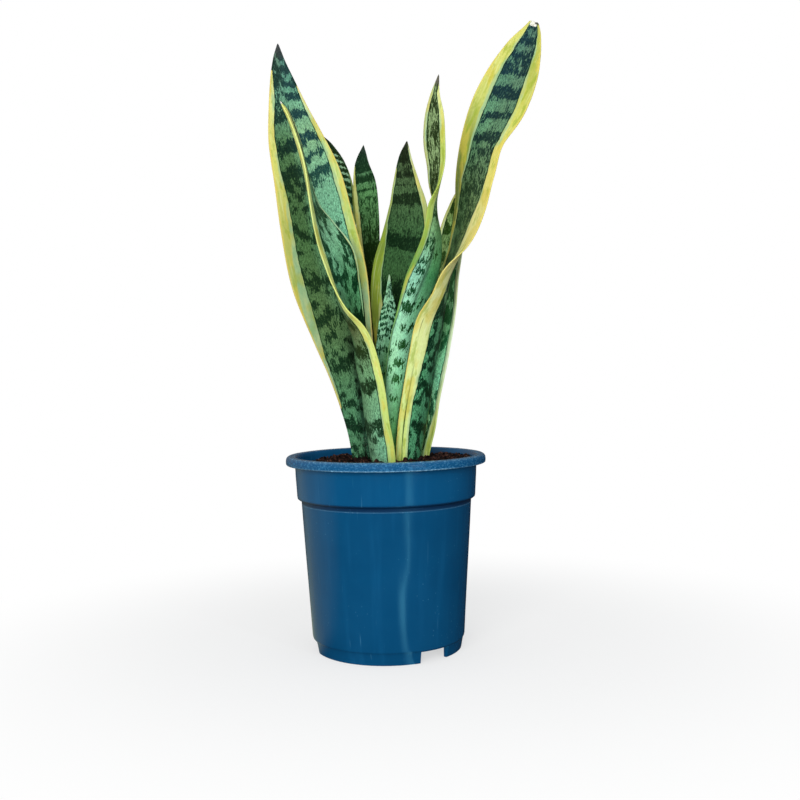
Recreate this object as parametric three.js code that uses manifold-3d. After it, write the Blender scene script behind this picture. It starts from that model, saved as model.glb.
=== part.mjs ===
// Potted snake plant: nine variegated sword leaves in a plastic nursery pot.
// Millimetres, +Z up. The pot stands on z = 0 and its axis is x = y = 0 while the plant is built.
// At the end the whole plant is moved so that the middle of its footprint is the origin.
// The front is -Y.
import * as THREE from 'three';
import { mergeVertices } from 'three/addons/utils/BufferGeometryUtils.js';
import Module from 'manifold-3d';

const wasm = await Module();
wasm.setup();

// ---------- driving dimensions ----------

const GAP = 0.3; // between pieces that touch
const POT_SIDES = 40;

// pot, outside
const POT_HEIGHT = 146;
const LIP_RADIUS = 75;
const LIP_DEPTH = 6.3;
const COLLAR_RADIUS = 68.5;
const COLLAR_FOOT_RADIUS = 67;
const COLLAR_DEPTH = 31.9; // from the top of the lip to the step under the collar
const BODY_RADIUS = 64;
const BODY_FOOT_RADIUS = 57.3;
const FOOT_TOP_RADIUS = 56.6;
const FOOT_RADIUS = 55;
const FOOT_HEIGHT = 9.4;
const WALL = 1.5;
const FLOOR_THICKNESS = 2;

// notches in the foot ring and drain holes in the floor
const NOTCH_AZIMUTHS = [37, 157, 277]; // degrees from the front towards +X
const NOTCH_WIDTH = 26; // degrees
const DRAIN_HOLES = 6;
const DRAIN_RADIUS = 4.5;
const DRAIN_CIRCLE = 36;

// soil
const SOIL_LEVEL = 137.5;
const SOIL_MOUND = 3.5; // rise of the soil round the leaves
const SOIL_MOUND_REACH = 34;
const SOIL_TILT = 0.035; // rise per millimetre towards +X
const SOIL_RINGS = [56, 44, 32, 20, 10];
const PLANT_CENTRE = new THREE.Vector2(6, 9);

// rhizome and roots
const RHIZOME_RADIUS = 11;
const RHIZOME_HEIGHT = 103; // of its axis
const RHIZOME_STEMS = [
  { from: [-20, 24], to: [26, 8] },
  { from: [2, -8], to: [-8, 30] },
];
const ROOTS = 7;
const ROOT_RADIUS = 2;
const ROOT_TIP_RADIUS = 1.2;
const ROOT_DROP = 62;
const ROOT_REACH = 34;

// leaves
const LEAF_FOOT = 109; // height at which every blade ends in the soil
const HOLE_TOP = 160; // the holes in the soil reach above its surface
const SEGMENTS_ACROSS = 6;
const STEPS_PER_SPAN = 2;
const EDGE_THICKNESS = 1.1;
const HOLE_CLEARANCE = 0.4;

// One row per station of a blade, from the foot to the tip:
// [height, x, y, width over the curve, turn, curl of the left half, curl of the right half].
// A turn of 0 shows the inner face to the front, 90 shows it to +X and 180 to the back.
// A curl is the angle between the midline and that margin, bent towards the inner face.
const LEAVES = {
  leaf_tall_left: {
    thickness: 3.4,
    colour: 0x4f7a5a,
    rows: [
      [LEAF_FOOT, -15, 11.5, 17, 5, 45, 45],
      [144, -17, 12, 20, 5, 45, 45],
      [168, -19, 14, 23.5, 4, 38, 38],
      [202, -24, 16, 34.5, 4, 30, 30],
      [240, -32.5, 16, 48, 6, 22, 22],
      [279, -41, 14, 59, 8, 19, 19],
      [317, -49, 13, 57.5, 10, 17, 17],
      [355, -56, 14, 52, 11, 16, 16],
      [386, -65, 16, 42, 12, 17, 17],
      [409, -70.5, 18, 30.5, 13, 19, 19],
      [433, -75, 21, 18, 14, 22, 22],
      [448, -77, 23, 9, 15, 22, 22],
      [460, -77.5, 24, 2, 15, 15, 15],
    ],
  },
  leaf_edge_left: {
    thickness: 3,
    colour: 0x4a7158,
    rows: [
      [LEAF_FOOT, -4, -7, 23, 142, 38, 38],
      [145, -5, -9, 26, 140, 37, 37],
      [169, -8.5, -10, 27, 134, 35, 35],
      [195, -12, -11, 30, 126, 33, 33],
      [217, -17.5, -12, 34, 120, 38, 38],
      [236, -22.5, -12, 38, 96, 58, 62],
      [254, -28, -12, 39, 72, 46, 50],
      [273, -30.5, -12, 38, 57, 26, 26],
      [295, -35, -12, 37, 50, 19, 19],
      [314, -43.5, -12, 33, 64, 17, 17],
      [332, -50.5, -13, 28, 81, 13, 13],
      [357, -55.5, -14, 22, 87, 11, 11],
      [379, -61, -14, 16, 82, 13, 13],
      [398, -67.5, -14, 9, 78, 13, 13],
      [407, -72.5, -14, 2, 76, 13, 13],
    ],
  },
  leaf_back_left: {
    thickness: 2.8,
    colour: 0x2c4a38,
    rows: [
      [LEAF_FOOT, -18.5, 20, 16, 24, 45, 45],
      [143, -20, 21, 17, 24, 45, 45],
      [186, -22, 26, 20, 28, 32, 32],
      [233, -28, 32, 25, 34, 26, 26],
      [280, -34, 36, 29, 38, 22, 22],
      [320, -35.5, 41, 34, 40, 20, 20],
      [352, -36, 43, 32, 40, 19, 19],
      [372, -39.5, 44, 26, 40, 18, 18],
      [386, -43.5, 45, 15, 40, 16, 16],
      [395, -46.5, 45, 2.5, 40, 15, 15],
    ],
  },
  leaf_back_dark: {
    thickness: 2.6,
    colour: 0x3c5b45,
    rows: [
      [LEAF_FOOT, -8.5, 29, 13, -10, 40, 40],
      [142, -9.5, 31, 14, -10, 40, 40],
      [186, -8.5, 34, 16, -12, 30, 30],
      [233, -8, 38, 18, -14, 24, 24],
      [273, -8, 42, 19, -16, 21, 21],
      [304, -10, 43, 18.5, -20, 19, 19],
      [332, -11, 43, 20, -24, 18, 18],
      [356, -12.5, 44, 20, -26, 17, 17],
      [372, -14.5, 44, 12.5, -26, 17, 17],
      [386, -13.5, 44, 2, -26, 15, 15],
    ],
  },
  leaf_back_centre: {
    thickness: 2.8,
    colour: 0x566f34,
    rows: [
      [LEAF_FOOT, 4.5, 20.5, 16, -4, 45, 45],
      [142, 5.5, 22, 17, -4, 45, 45],
      [186, 7, 23, 22, -4, 35, 35],
      [232, 7.5, 24, 30, -4, 27, 27],
      [264, 8, 26, 36, -2, 24, 24],
      [287, 11, 28, 37.5, 0, 22, 22],
      [310, 17.5, 29, 36.5, 2, 20, 20],
      [334, 20.5, 30, 30.5, 4, 18, 18],
      [353, 19.5, 31, 21.5, 5, 17, 17],
      [373, 19, 31, 10.5, 6, 17, 17],
      [386, 20.5, 31, 2, 6, 15, 15],
    ],
  },
  leaf_twisted: {
    thickness: 2.8,
    colour: 0x6a9c82,
    rows: [
      [LEAF_FOOT, 2, 2.5, 11, -178, 40, 40],
      [144, 2.5, 3, 11, -178, 40, 40],
      [168, 4, 2, 11.5, -178, 37, 37],
      [187, 6, 1, 13, -178, 35, 35],
      [209, 8.5, -1, 15, -177, 31, 31],
      [232, 13, -5, 16, -176, 28, 28],
      [254, 20, -9, 18.5, -174, 25, 25],
      [272, 27, -13, 23, -168, 23, 23],
      [288, 33.5, -16, 23, -153, 20, 20],
      [302, 37, -19, 22, -135, 18, 18],
      [315, 38.5, -22, 21, -118, 18, 30],
      [329, 39, -24, 20, -100, 22, 45],
      [343, 40.5, -26, 19.5, -68, 18, 40],
      [357, 41, -27, 18, -48, 16, 24],
      [375, 39.5, -28, 17, -24, 18, 18],
      [393, 39.5, -29, 13.5, -8, 20, 20],
      [407, 40, -30, 6.5, 0, 20, 20],
      [420, 42.5, -30, 1.5, 0, 15, 15],
    ],
  },
  leaf_baby: {
    thickness: 2.2,
    colour: 0x6fa985,
    rows: [
      [LEAF_FOOT, 0.5, 12, 8.5, -4, 45, 45],
      [143, 0, 13, 9, -4, 45, 45],
      [179, -0.5, 13, 10, -4, 40, 40],
      [209, -0.5, 12, 11, -3, 35, 35],
      [232, 0.5, 11, 11.5, -2, 30, 30],
      [253, 4, 10, 12, 0, 27, 27],
      [266, 4.5, 10, 6, 2, 27, 27],
      [281, 5, 10, 1.5, 4, 20, 20],
    ],
  },
  leaf_big_right: {
    thickness: 3.4,
    colour: 0x46704f,
    rows: [
      [LEAF_FOOT, 17.5, 0, 23, -147, 46, 46],
      [144, 20, 0, 26, -146, 46, 46],
      [168, 23.5, 0, 29, -144, 45, 45],
      [194, 28.5, -1, 31, -140, 44, 44],
      [220, 34, -3, 34, -134, 43, 43],
      [242, 39.5, -5, 38, -126, 43, 43],
      [261, 45.5, -8, 40, -104, 42, 44],
      [279, 49.5, -11, 42, -92, 32, 36],
      [301, 58, -13, 43, -82, 18, 0],
      [326, 65, -16, 43, -68, 8, -6],
      [351, 69, -18, 42, -55, 8, -4],
      [376, 75, -20, 37.5, -40, 12, 4],
      [401, 87.5, -21, 40.5, -18, 18, 16],
      [422, 97.5, -22, 36.5, -10, 17, 17],
      [440, 105.3, -22, 26.5, -7, 15, 15],
      [452, 110.5, -22, 15.5, -5, 13, 13],
      [460, 113, -22, 6.5, -5, 10, 10],
    ],
  },
  leaf_right: {
    thickness: 3,
    colour: 0x3f6b47,
    rows: [
      [LEAF_FOOT, 24.5, 15, 20, -38, 40, 40],
      [143, 27, 16, 22, -38, 40, 40],
      [167, 32, 17, 25, -40, 33, 33],
      [193, 35, 18, 28, -41, 28, 28],
      [224, 40.5, 18, 30, -42, 25, 25],
      [255, 46.5, 19, 30, -42, 23, 23],
      [282, 49, 20, 29, -40, 21, 21],
      [305, 53, 22, 24.5, -36, 19, 19],
      [325, 57, 24, 19, -32, 18, 18],
      [339, 59, 25, 10, -28, 17, 17],
      [348, 60, 25, 2, -26, 15, 15],
    ],
  },
};

// ---------- solids ----------

const degrees = THREE.MathUtils.degToRad;

// Closed three.js geometry to a solid for joining and cutting.
function solidOf(geometry) {
  const bare = geometry.clone();
  bare.deleteAttribute('normal');
  bare.deleteAttribute('uv');
  const welded = mergeVertices(bare, 1e-4);
  const mesh = new wasm.Mesh({
    numProp: 3,
    vertProperties: new Float32Array(welded.attributes.position.array),
    triVerts: new Uint32Array(welded.index.array),
  });
  return new wasm.Manifold(mesh);
}

function geometryOf(solid) {
  const mesh = solid.getMesh();
  const geometry = new THREE.BufferGeometry();
  geometry.setAttribute('position', new THREE.BufferAttribute(mesh.vertProperties, 3));
  geometry.setIndex(new THREE.BufferAttribute(mesh.triVerts, 1));
  geometry.computeVertexNormals();
  return geometry;
}

// Solid of revolution about Z from [radius, height] points.
function turned(profile, sides) {
  const points = profile.map(([radius, height]) => new THREE.Vector2(radius, height));
  const geometry = new THREE.LatheGeometry(points, sides);
  geometry.rotateX(Math.PI / 2);
  return geometry;
}

// ---------- leaves ----------

// Smooth value of one column of a blade's rows at a height.
function valueAt(rows, column, height) {
  const last = rows.length - 1;
  const z = THREE.MathUtils.clamp(height, rows[0][0], rows[last][0]);
  let i = 0;
  while (i < last - 1 && z > rows[i + 1][0]) i += 1;
  const slope = (k) => {
    const low = Math.max(k - 1, 0);
    const high = Math.min(k + 1, last);
    return (rows[high][column] - rows[low][column]) / (rows[high][0] - rows[low][0]);
  };
  const span = rows[i + 1][0] - rows[i][0];
  const s = (z - rows[i][0]) / span;
  const s2 = s * s;
  const s3 = s2 * s;
  return (2 * s3 - 3 * s2 + 1) * rows[i][column]
    + (s3 - 2 * s2 + s) * span * slope(i)
    + (3 * s2 - 2 * s3) * rows[i + 1][column]
    + (s3 - s2) * span * slope(i + 1);
}

function midline(rows, height) {
  return new THREE.Vector3(valueAt(rows, 1, height), valueAt(rows, 2, height), height);
}

// Inner and outer points across the blade at a height, from the left margin to the right one.
function bladeSection(rows, thickness, height, grow) {
  const [bottom, top] = [rows[0][0], rows[rows.length - 1][0]];
  const centre = midline(rows, height);
  const ahead = midline(rows, Math.min(height + 1, top));
  const behind = midline(rows, Math.max(height - 1, bottom));
  const along = ahead.sub(behind).normalize();
  const turn = degrees(valueAt(rows, 4, height));
  const facing = new THREE.Vector3(Math.sin(turn), -Math.cos(turn), 0);
  const across = new THREE.Vector3().crossVectors(along, facing).normalize();
  const inward = new THREE.Vector3().crossVectors(across, along);
  const half = valueAt(rows, 3, height) / 2 + grow;
  const inner = [];
  const outer = [];
  for (let j = 0; j <= SEGMENTS_ACROSS; j += 1) {
    const lateral = (2 * j) / SEGMENTS_ACROSS - 1;
    const curl = degrees(valueAt(rows, lateral < 0 ? 5 : 6, height)) || 0.001;
    const bend = half / curl;
    const angle = lateral * curl;
    const point = centre.clone()
      .addScaledVector(across, bend * Math.sin(angle))
      .addScaledVector(inward, bend * (1 - Math.cos(angle)));
    const normal = inward.clone().multiplyScalar(Math.cos(angle))
      .addScaledVector(across, -Math.sin(angle));
    const bulge = 1 - Math.abs(lateral) ** 2.2;
    const depth = (EDGE_THICKNESS + (thickness - EDGE_THICKNESS) * bulge) / 2 + grow;
    inner.push(point.clone().addScaledVector(normal, depth));
    outer.push(point.clone().addScaledVector(normal, -depth));
  }
  return { inner, outer };
}

// Closed blade between its foot and a height. Both faces are split along the same diagonals.
function bladeGeometry(rows, thickness, upTo, grow) {
  const heights = [];
  for (let i = 0; i < rows.length - 1; i += 1) {
    for (let k = 0; k < STEPS_PER_SPAN; k += 1) {
      heights.push(rows[i][0] + ((rows[i + 1][0] - rows[i][0]) * k) / STEPS_PER_SPAN);
    }
  }
  heights.push(rows[rows.length - 1][0]);
  const kept = heights.filter((height) => height <= upTo);
  const sections = kept.map((height) => bladeSection(rows, thickness, height, grow));
  if (grow > 0) {
    const foot = sections[0];
    [...foot.inner, ...foot.outer].forEach((point) => { point.z -= grow; });
  }
  const width = SEGMENTS_ACROSS + 1;
  const points = sections.flatMap(({ inner, outer }) => [...inner, ...outer]);
  const inner = (i, j) => i * 2 * width + j;
  const outer = (i, j) => inner(i, j) + width;
  const index = [];
  const quad = (a, b, c, d) => index.push(a, b, c, a, c, d);
  const top = sections.length - 1;
  const right = SEGMENTS_ACROSS;
  for (let i = 0; i < top; i += 1) {
    for (let j = 0; j < right; j += 1) {
      quad(inner(i, j), inner(i, j + 1), inner(i + 1, j + 1), inner(i + 1, j));
      index.push(outer(i, j), outer(i + 1, j + 1), outer(i, j + 1));
      index.push(outer(i, j), outer(i + 1, j), outer(i + 1, j + 1));
    }
    quad(outer(i, right), outer(i + 1, right), inner(i + 1, right), inner(i, right));
    quad(inner(i, 0), inner(i + 1, 0), outer(i + 1, 0), outer(i, 0));
  }
  for (let j = 0; j < right; j += 1) {
    quad(outer(0, j), outer(0, j + 1), inner(0, j + 1), inner(0, j));
    quad(inner(top, j), inner(top, j + 1), outer(top, j + 1), outer(top, j));
  }
  const geometry = new THREE.BufferGeometry().setFromPoints(points);
  geometry.setIndex(index);
  return geometry;
}

// ---------- rhizome ----------

function capsule(from, to, radius) {
  const axis = to.clone().sub(from);
  const geometry = new THREE.CapsuleGeometry(radius, axis.length(), 3, 10);
  const up = new THREE.Vector3(0, 1, 0);
  geometry.applyQuaternion(new THREE.Quaternion().setFromUnitVectors(up, axis.normalize()));
  const middle = from.clone().add(to).multiplyScalar(0.5);
  return geometry.translate(middle.x, middle.y, middle.z);
}

// A root leaves the rhizome sideways and bends down.
function rootGeometry(number, grow) {
  const azimuth = degrees((360 * number) / ROOTS + 14);
  const out = new THREE.Vector2(Math.cos(azimuth), Math.sin(azimuth));
  const reach = ROOT_REACH - 5 * (number % 3);
  const drop = ROOT_DROP - 9 * (number % 2);
  const start = PLANT_CENTRE.clone().addScaledVector(out, 2);
  const point = (share, fall) => new THREE.Vector3(
    start.x + out.x * reach * share,
    start.y + out.y * reach * share,
    RHIZOME_HEIGHT - 2 - drop * fall,
  );
  const curve = new THREE.CatmullRomCurve3([point(0, 0), point(0.5, 0.12), point(0.85, 0.5), point(1, 1)]);
  const steps = 7;
  const sides = 5;
  const points = [];
  const index = [];
  for (let i = 0; i <= steps; i += 1) {
    const centre = curve.getPoint(i / steps);
    const along = curve.getTangent(i / steps);
    const side = new THREE.Vector3(-out.y, out.x, 0);
    const lift = new THREE.Vector3().crossVectors(along, side);
    const radius = THREE.MathUtils.lerp(ROOT_RADIUS, ROOT_TIP_RADIUS, i / steps) + grow;
    for (let k = 0; k < sides; k += 1) {
      const angle = (2 * Math.PI * k) / sides;
      points.push(centre.clone()
        .addScaledVector(side, radius * Math.cos(angle))
        .addScaledVector(lift, radius * Math.sin(angle)));
    }
  }
  const tip = curve.getPoint(1).addScaledVector(curve.getTangent(1), grow);
  const ends = [curve.getPoint(0), tip];
  const base = points.length;
  points.push(...ends);
  for (let i = 0; i < steps; i += 1) {
    for (let k = 0; k < sides; k += 1) {
      const a = i * sides + k;
      const b = i * sides + ((k + 1) % sides);
      index.push(a, b, b + sides, a, b + sides, a + sides);
    }
  }
  for (let k = 0; k < sides; k += 1) {
    const next = (k + 1) % sides;
    index.push(base, next, k);
    index.push(base + 1, steps * sides + k, steps * sides + next);
  }
  const geometry = new THREE.BufferGeometry().setFromPoints(points);
  geometry.setIndex(index);
  return geometry;
}

function rhizomeSolid(grow) {
  const parts = RHIZOME_STEMS.map(({ from, to }) => solidOf(capsule(
    new THREE.Vector3(from[0], from[1], RHIZOME_HEIGHT),
    new THREE.Vector3(to[0], to[1], RHIZOME_HEIGHT),
    RHIZOME_RADIUS + grow,
  )));
  for (let number = 0; number < ROOTS; number += 1) {
    parts.push(solidOf(rootGeometry(number, grow)));
  }
  return parts.reduce((whole, part) => whole.add(part));
}

// ---------- pot ----------

function potSolid() {
  const floorUnder = FOOT_HEIGHT - 1;
  const floorTop = floorUnder + FLOOR_THICKNESS;
  const collarFoot = POT_HEIGHT - COLLAR_DEPTH;
  const lipFoot = POT_HEIGHT - LIP_DEPTH;
  const profile = [
    [0, floorUnder],
    [FOOT_RADIUS - 2 * WALL, floorUnder],
    [FOOT_RADIUS - 2 * WALL, 0],
    [FOOT_RADIUS, 0],
    [FOOT_TOP_RADIUS, FOOT_HEIGHT - 0.4],
    [BODY_FOOT_RADIUS, FOOT_HEIGHT],
    [BODY_RADIUS, collarFoot - 0.8],
    [COLLAR_FOOT_RADIUS - 0.9, collarFoot],
    [COLLAR_FOOT_RADIUS, collarFoot + 1],
    [COLLAR_RADIUS, lipFoot + 4.2],
    [LIP_RADIUS - WALL, lipFoot + 4.2],
    [LIP_RADIUS - WALL, lipFoot],
    [LIP_RADIUS - 0.3, lipFoot],
    [LIP_RADIUS, lipFoot + 1.2],
    [LIP_RADIUS, POT_HEIGHT - 2.4],
    [LIP_RADIUS - 0.8, POT_HEIGHT - 0.8],
    [LIP_RADIUS - 2.4, POT_HEIGHT],
    [COLLAR_RADIUS, POT_HEIGHT],
    [COLLAR_RADIUS - WALL, POT_HEIGHT - 1.2],
    [COLLAR_FOOT_RADIUS - WALL, collarFoot + WALL],
    [BODY_RADIUS - WALL, collarFoot],
    [BODY_FOOT_RADIUS - WALL, floorTop + 2],
    [BODY_FOOT_RADIUS - WALL - 2, floorTop],
    [0, floorTop],
  ];
  let pot = solidOf(turned(profile, POT_SIDES));
  for (const azimuth of NOTCH_AZIMUTHS) {
    const start = degrees(azimuth - 90 - NOTCH_WIDTH / 2);
    const sector = new THREE.Shape();
    sector.absarc(0, 0, FOOT_RADIUS + 5, start, start + degrees(NOTCH_WIDTH), false);
    sector.absarc(0, 0, FOOT_RADIUS - 8, start + degrees(NOTCH_WIDTH), start, true);
    const options = { depth: floorUnder + 1, bevelEnabled: false, curveSegments: 3 };
    const wedge = new THREE.ExtrudeGeometry(sector, options).translate(0, 0, -1);
    pot = pot.subtract(solidOf(wedge));
  }
  for (let k = 0; k <= DRAIN_HOLES; k += 1) {
    const angle = degrees((360 * k) / DRAIN_HOLES);
    const circle = k < DRAIN_HOLES ? DRAIN_CIRCLE : 0; // the last hole is the middle one
    const hole = new THREE.CylinderGeometry(DRAIN_RADIUS, DRAIN_RADIUS, 3 * FLOOR_THICKNESS, 12);
    hole.rotateX(Math.PI / 2).translate(circle * Math.cos(angle), circle * Math.sin(angle), floorUnder);
    pot = pot.subtract(solidOf(hole));
  }
  return pot;
}

// ---------- soil ----------

function soilSurface(x, y) {
  const away = Math.hypot(x - PLANT_CENTRE.x, y - PLANT_CENTRE.y) / SOIL_MOUND_REACH;
  const mound = SOIL_MOUND * Math.exp(-away * away);
  const lumps = 0.7 * Math.sin(x / 7 + 1) * Math.cos(y / 9) + 0.4 * Math.sin(x / 3.7 - y / 4.3);
  return SOIL_LEVEL + mound + SOIL_TILT * x + lumps;
}

function soilSolid() {
  const collarFoot = POT_HEIGHT - COLLAR_DEPTH;
  const floorTop = FOOT_HEIGHT - 1 + FLOOR_THICKNESS;
  const profile = [
    [0, floorTop + GAP],
    [BODY_FOOT_RADIUS - WALL - 2 - GAP, floorTop + GAP],
    [BODY_FOOT_RADIUS - WALL - GAP, floorTop + 2 + GAP],
    [BODY_RADIUS - WALL - GAP, collarFoot + GAP],
    [COLLAR_FOOT_RADIUS - WALL - GAP, collarFoot + WALL + GAP],
    [COLLAR_FOOT_RADIUS - WALL + 0.6, SOIL_LEVEL],
    ...SOIL_RINGS.map((radius) => [radius, SOIL_LEVEL]),
    [0, SOIL_LEVEL],
  ];
  const geometry = turned(profile, POT_SIDES);
  const position = geometry.attributes.position;
  for (let i = 0; i < position.count; i += 1) {
    if (position.getZ(i) > SOIL_LEVEL - 0.1) {
      position.setZ(i, soilSurface(position.getX(i), position.getY(i)));
    }
  }
  let soil = solidOf(geometry).subtract(rhizomeSolid(GAP));
  for (const { thickness, rows } of Object.values(LEAVES)) {
    soil = soil.subtract(solidOf(bladeGeometry(rows, thickness, HOLE_TOP, HOLE_CLEARANCE)));
  }
  return soil;
}

// ---------- the plant ----------

const plant = new THREE.Group();

function addPiece(name, solid, colour, roughness) {
  const material = new THREE.MeshStandardMaterial({ color: colour, roughness, metalness: 0 });
  const mesh = new THREE.Mesh(geometryOf(solid), material);
  mesh.name = name;
  plant.add(mesh);
}

addPiece('pot', potSolid(), 0x114e78, 0.35);
addPiece('soil', soilSolid(), 0x33211c, 0.95);
addPiece('rhizome', rhizomeSolid(0), 0xb98a55, 0.8);
for (const [name, { thickness, colour, rows }] of Object.entries(LEAVES)) {
  const blade = solidOf(bladeGeometry(rows, thickness, Infinity, 0));
  addPiece(name, blade.subtract(rhizomeSolid(GAP)), colour, 0.45);
}

const reach = new THREE.Box3().setFromObject(plant);
plant.position.x = -(reach.min.x + reach.max.x) / 2;
plant.position.y = -(reach.min.y + reach.max.y) / 2;

export default plant;
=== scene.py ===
"""Potted snake plant: fine leaves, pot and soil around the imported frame.

Lengths in the tables are millimetres about the pot's axis, z up from the ground.
Meshes are made in metres in the frame's own axes.
"""

import math
import random

import bmesh
import bpy
import numpy as np
from mathutils import Matrix, Vector, noise


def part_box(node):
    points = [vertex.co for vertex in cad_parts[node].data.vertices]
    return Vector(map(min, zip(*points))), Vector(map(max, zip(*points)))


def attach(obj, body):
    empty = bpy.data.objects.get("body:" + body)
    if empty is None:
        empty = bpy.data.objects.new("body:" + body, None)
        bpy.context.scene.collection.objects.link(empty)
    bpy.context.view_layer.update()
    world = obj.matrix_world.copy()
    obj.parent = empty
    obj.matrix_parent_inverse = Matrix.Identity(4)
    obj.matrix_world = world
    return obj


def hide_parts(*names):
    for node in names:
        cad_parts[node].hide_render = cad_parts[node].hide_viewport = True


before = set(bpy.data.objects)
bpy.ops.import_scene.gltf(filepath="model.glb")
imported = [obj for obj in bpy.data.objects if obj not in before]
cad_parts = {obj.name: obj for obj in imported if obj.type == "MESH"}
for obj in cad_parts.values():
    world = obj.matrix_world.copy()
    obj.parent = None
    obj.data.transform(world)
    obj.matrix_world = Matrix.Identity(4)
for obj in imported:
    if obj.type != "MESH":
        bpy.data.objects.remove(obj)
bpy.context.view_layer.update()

MM = 0.001
POT_LOW, POT_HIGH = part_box("pot")
AXIS_X = (POT_LOW[0] + POT_HIGH[0]) / 2
AXIS_Y = (POT_LOW[1] + POT_HIGH[1]) / 2


# ---------- small helpers ----------


def linear(colour):
    """sRGB 0-255 to linear RGB."""
    value = np.asarray(colour, dtype=float) / 255
    return np.where(value <= 0.04045, value / 12.92, ((value + 0.055) / 1.055) ** 2.4)


def rgba(*colour):
    """sRGB 0-255 to a colour of a shader."""
    return (*linear(colour).tolist(), 1.0)


def with_alpha(colours):
    return np.concatenate((colours, np.ones((len(colours), 1))), axis=1)


def smoothstep(low, high, value):
    t = np.clip((value - low) / (high - low), 0, 1)
    return t * t * (3 - 2 * t)


def ridge(value, middle, reach):
    """1 at the middle, falling to 0 at that reach from it."""
    return 1 - np.clip(np.abs(value - middle) / reach, 0, 1)


def unit(vectors):
    return vectors / np.linalg.norm(vectors, axis=-1, keepdims=True)


def profile_value(stops, heights, column=1):
    """Values between stops, whose first number is a height."""
    return np.interp(heights, [stop[0] for stop in stops], [stop[column] for stop in stops])


def on_circle(radius, angle):
    return radius * math.cos(angle), radius * math.sin(angle)


def to_frame(points):
    """Millimetres about the pot's axis to metres in the frame."""
    return np.asarray(points, dtype=float) * MM + np.array((AXIS_X, AXIS_Y, 0))


def link_object(name, data):
    made = bpy.data.objects.new(name, data)
    bpy.context.scene.collection.objects.link(made)
    return made


def new_object(name, vertices, faces, material, smooth=True):
    mesh = bpy.data.meshes.new(name)
    mesh.from_pydata([tuple(v) for v in vertices], [], faces)
    mesh.validate()
    mesh.materials.append(material)
    if smooth:
        mesh.shade_smooth()
    return link_object(name, mesh)


def face_outward(mesh):
    bm = bmesh.new()
    bm.from_mesh(mesh)
    bmesh.ops.recalc_face_normals(bm, faces=bm.faces)
    bm.to_mesh(mesh)
    bm.free()


def ring_faces(rings, width, first=0):
    """Quads between rings of vertices that follow each other from the vertex first."""
    starts = range(first, first + (rings - 1) * width, width)
    return [
        (i + k, i + (k + 1) % width, i + width + (k + 1) % width, i + width + k)
        for i in starts for k in range(width)
    ]


def tube_faces(rings, width):
    """Quads between the rings and a fan to each of the two points that come after them."""
    faces = ring_faces(rings, width)
    foot, last = rings * width, (rings - 1) * width
    for k in range(width):
        after = (k + 1) % width
        faces += [(foot, after, k), (foot + 1, last + k, last + after)]
    return faces


def lathe(profile, sides):
    """Vertices and faces of a turned solid whose profile starts and ends on the axis."""
    turns = [2 * math.pi * k / sides for k in range(sides)]
    vertices = [(*on_circle(radius, a), height) for radius, height in profile[1:-1] for a in turns]
    vertices += [(0, 0, profile[0][1]), (0, 0, profile[-1][1])]
    return vertices, tube_faces(len(profile) - 2, sides)


ATTRIBUTE_KINDS = {
    1: ("FLOAT", "value"), 3: ("FLOAT_VECTOR", "vector"), 4: ("FLOAT_COLOR", "color"),
}


def add_attributes(mesh, **layers):
    """Stores a number, a vector or a colour for each vertex under each name."""
    for name, values in layers.items():
        values = np.asarray(values, dtype=np.float32).reshape(len(mesh.vertices), -1)
        kind, field = ATTRIBUTE_KINDS[values.shape[1]]
        mesh.attributes.new(name, kind, "POINT").data.foreach_set(field, values.ravel())


# ---------- shader helper ----------


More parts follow.
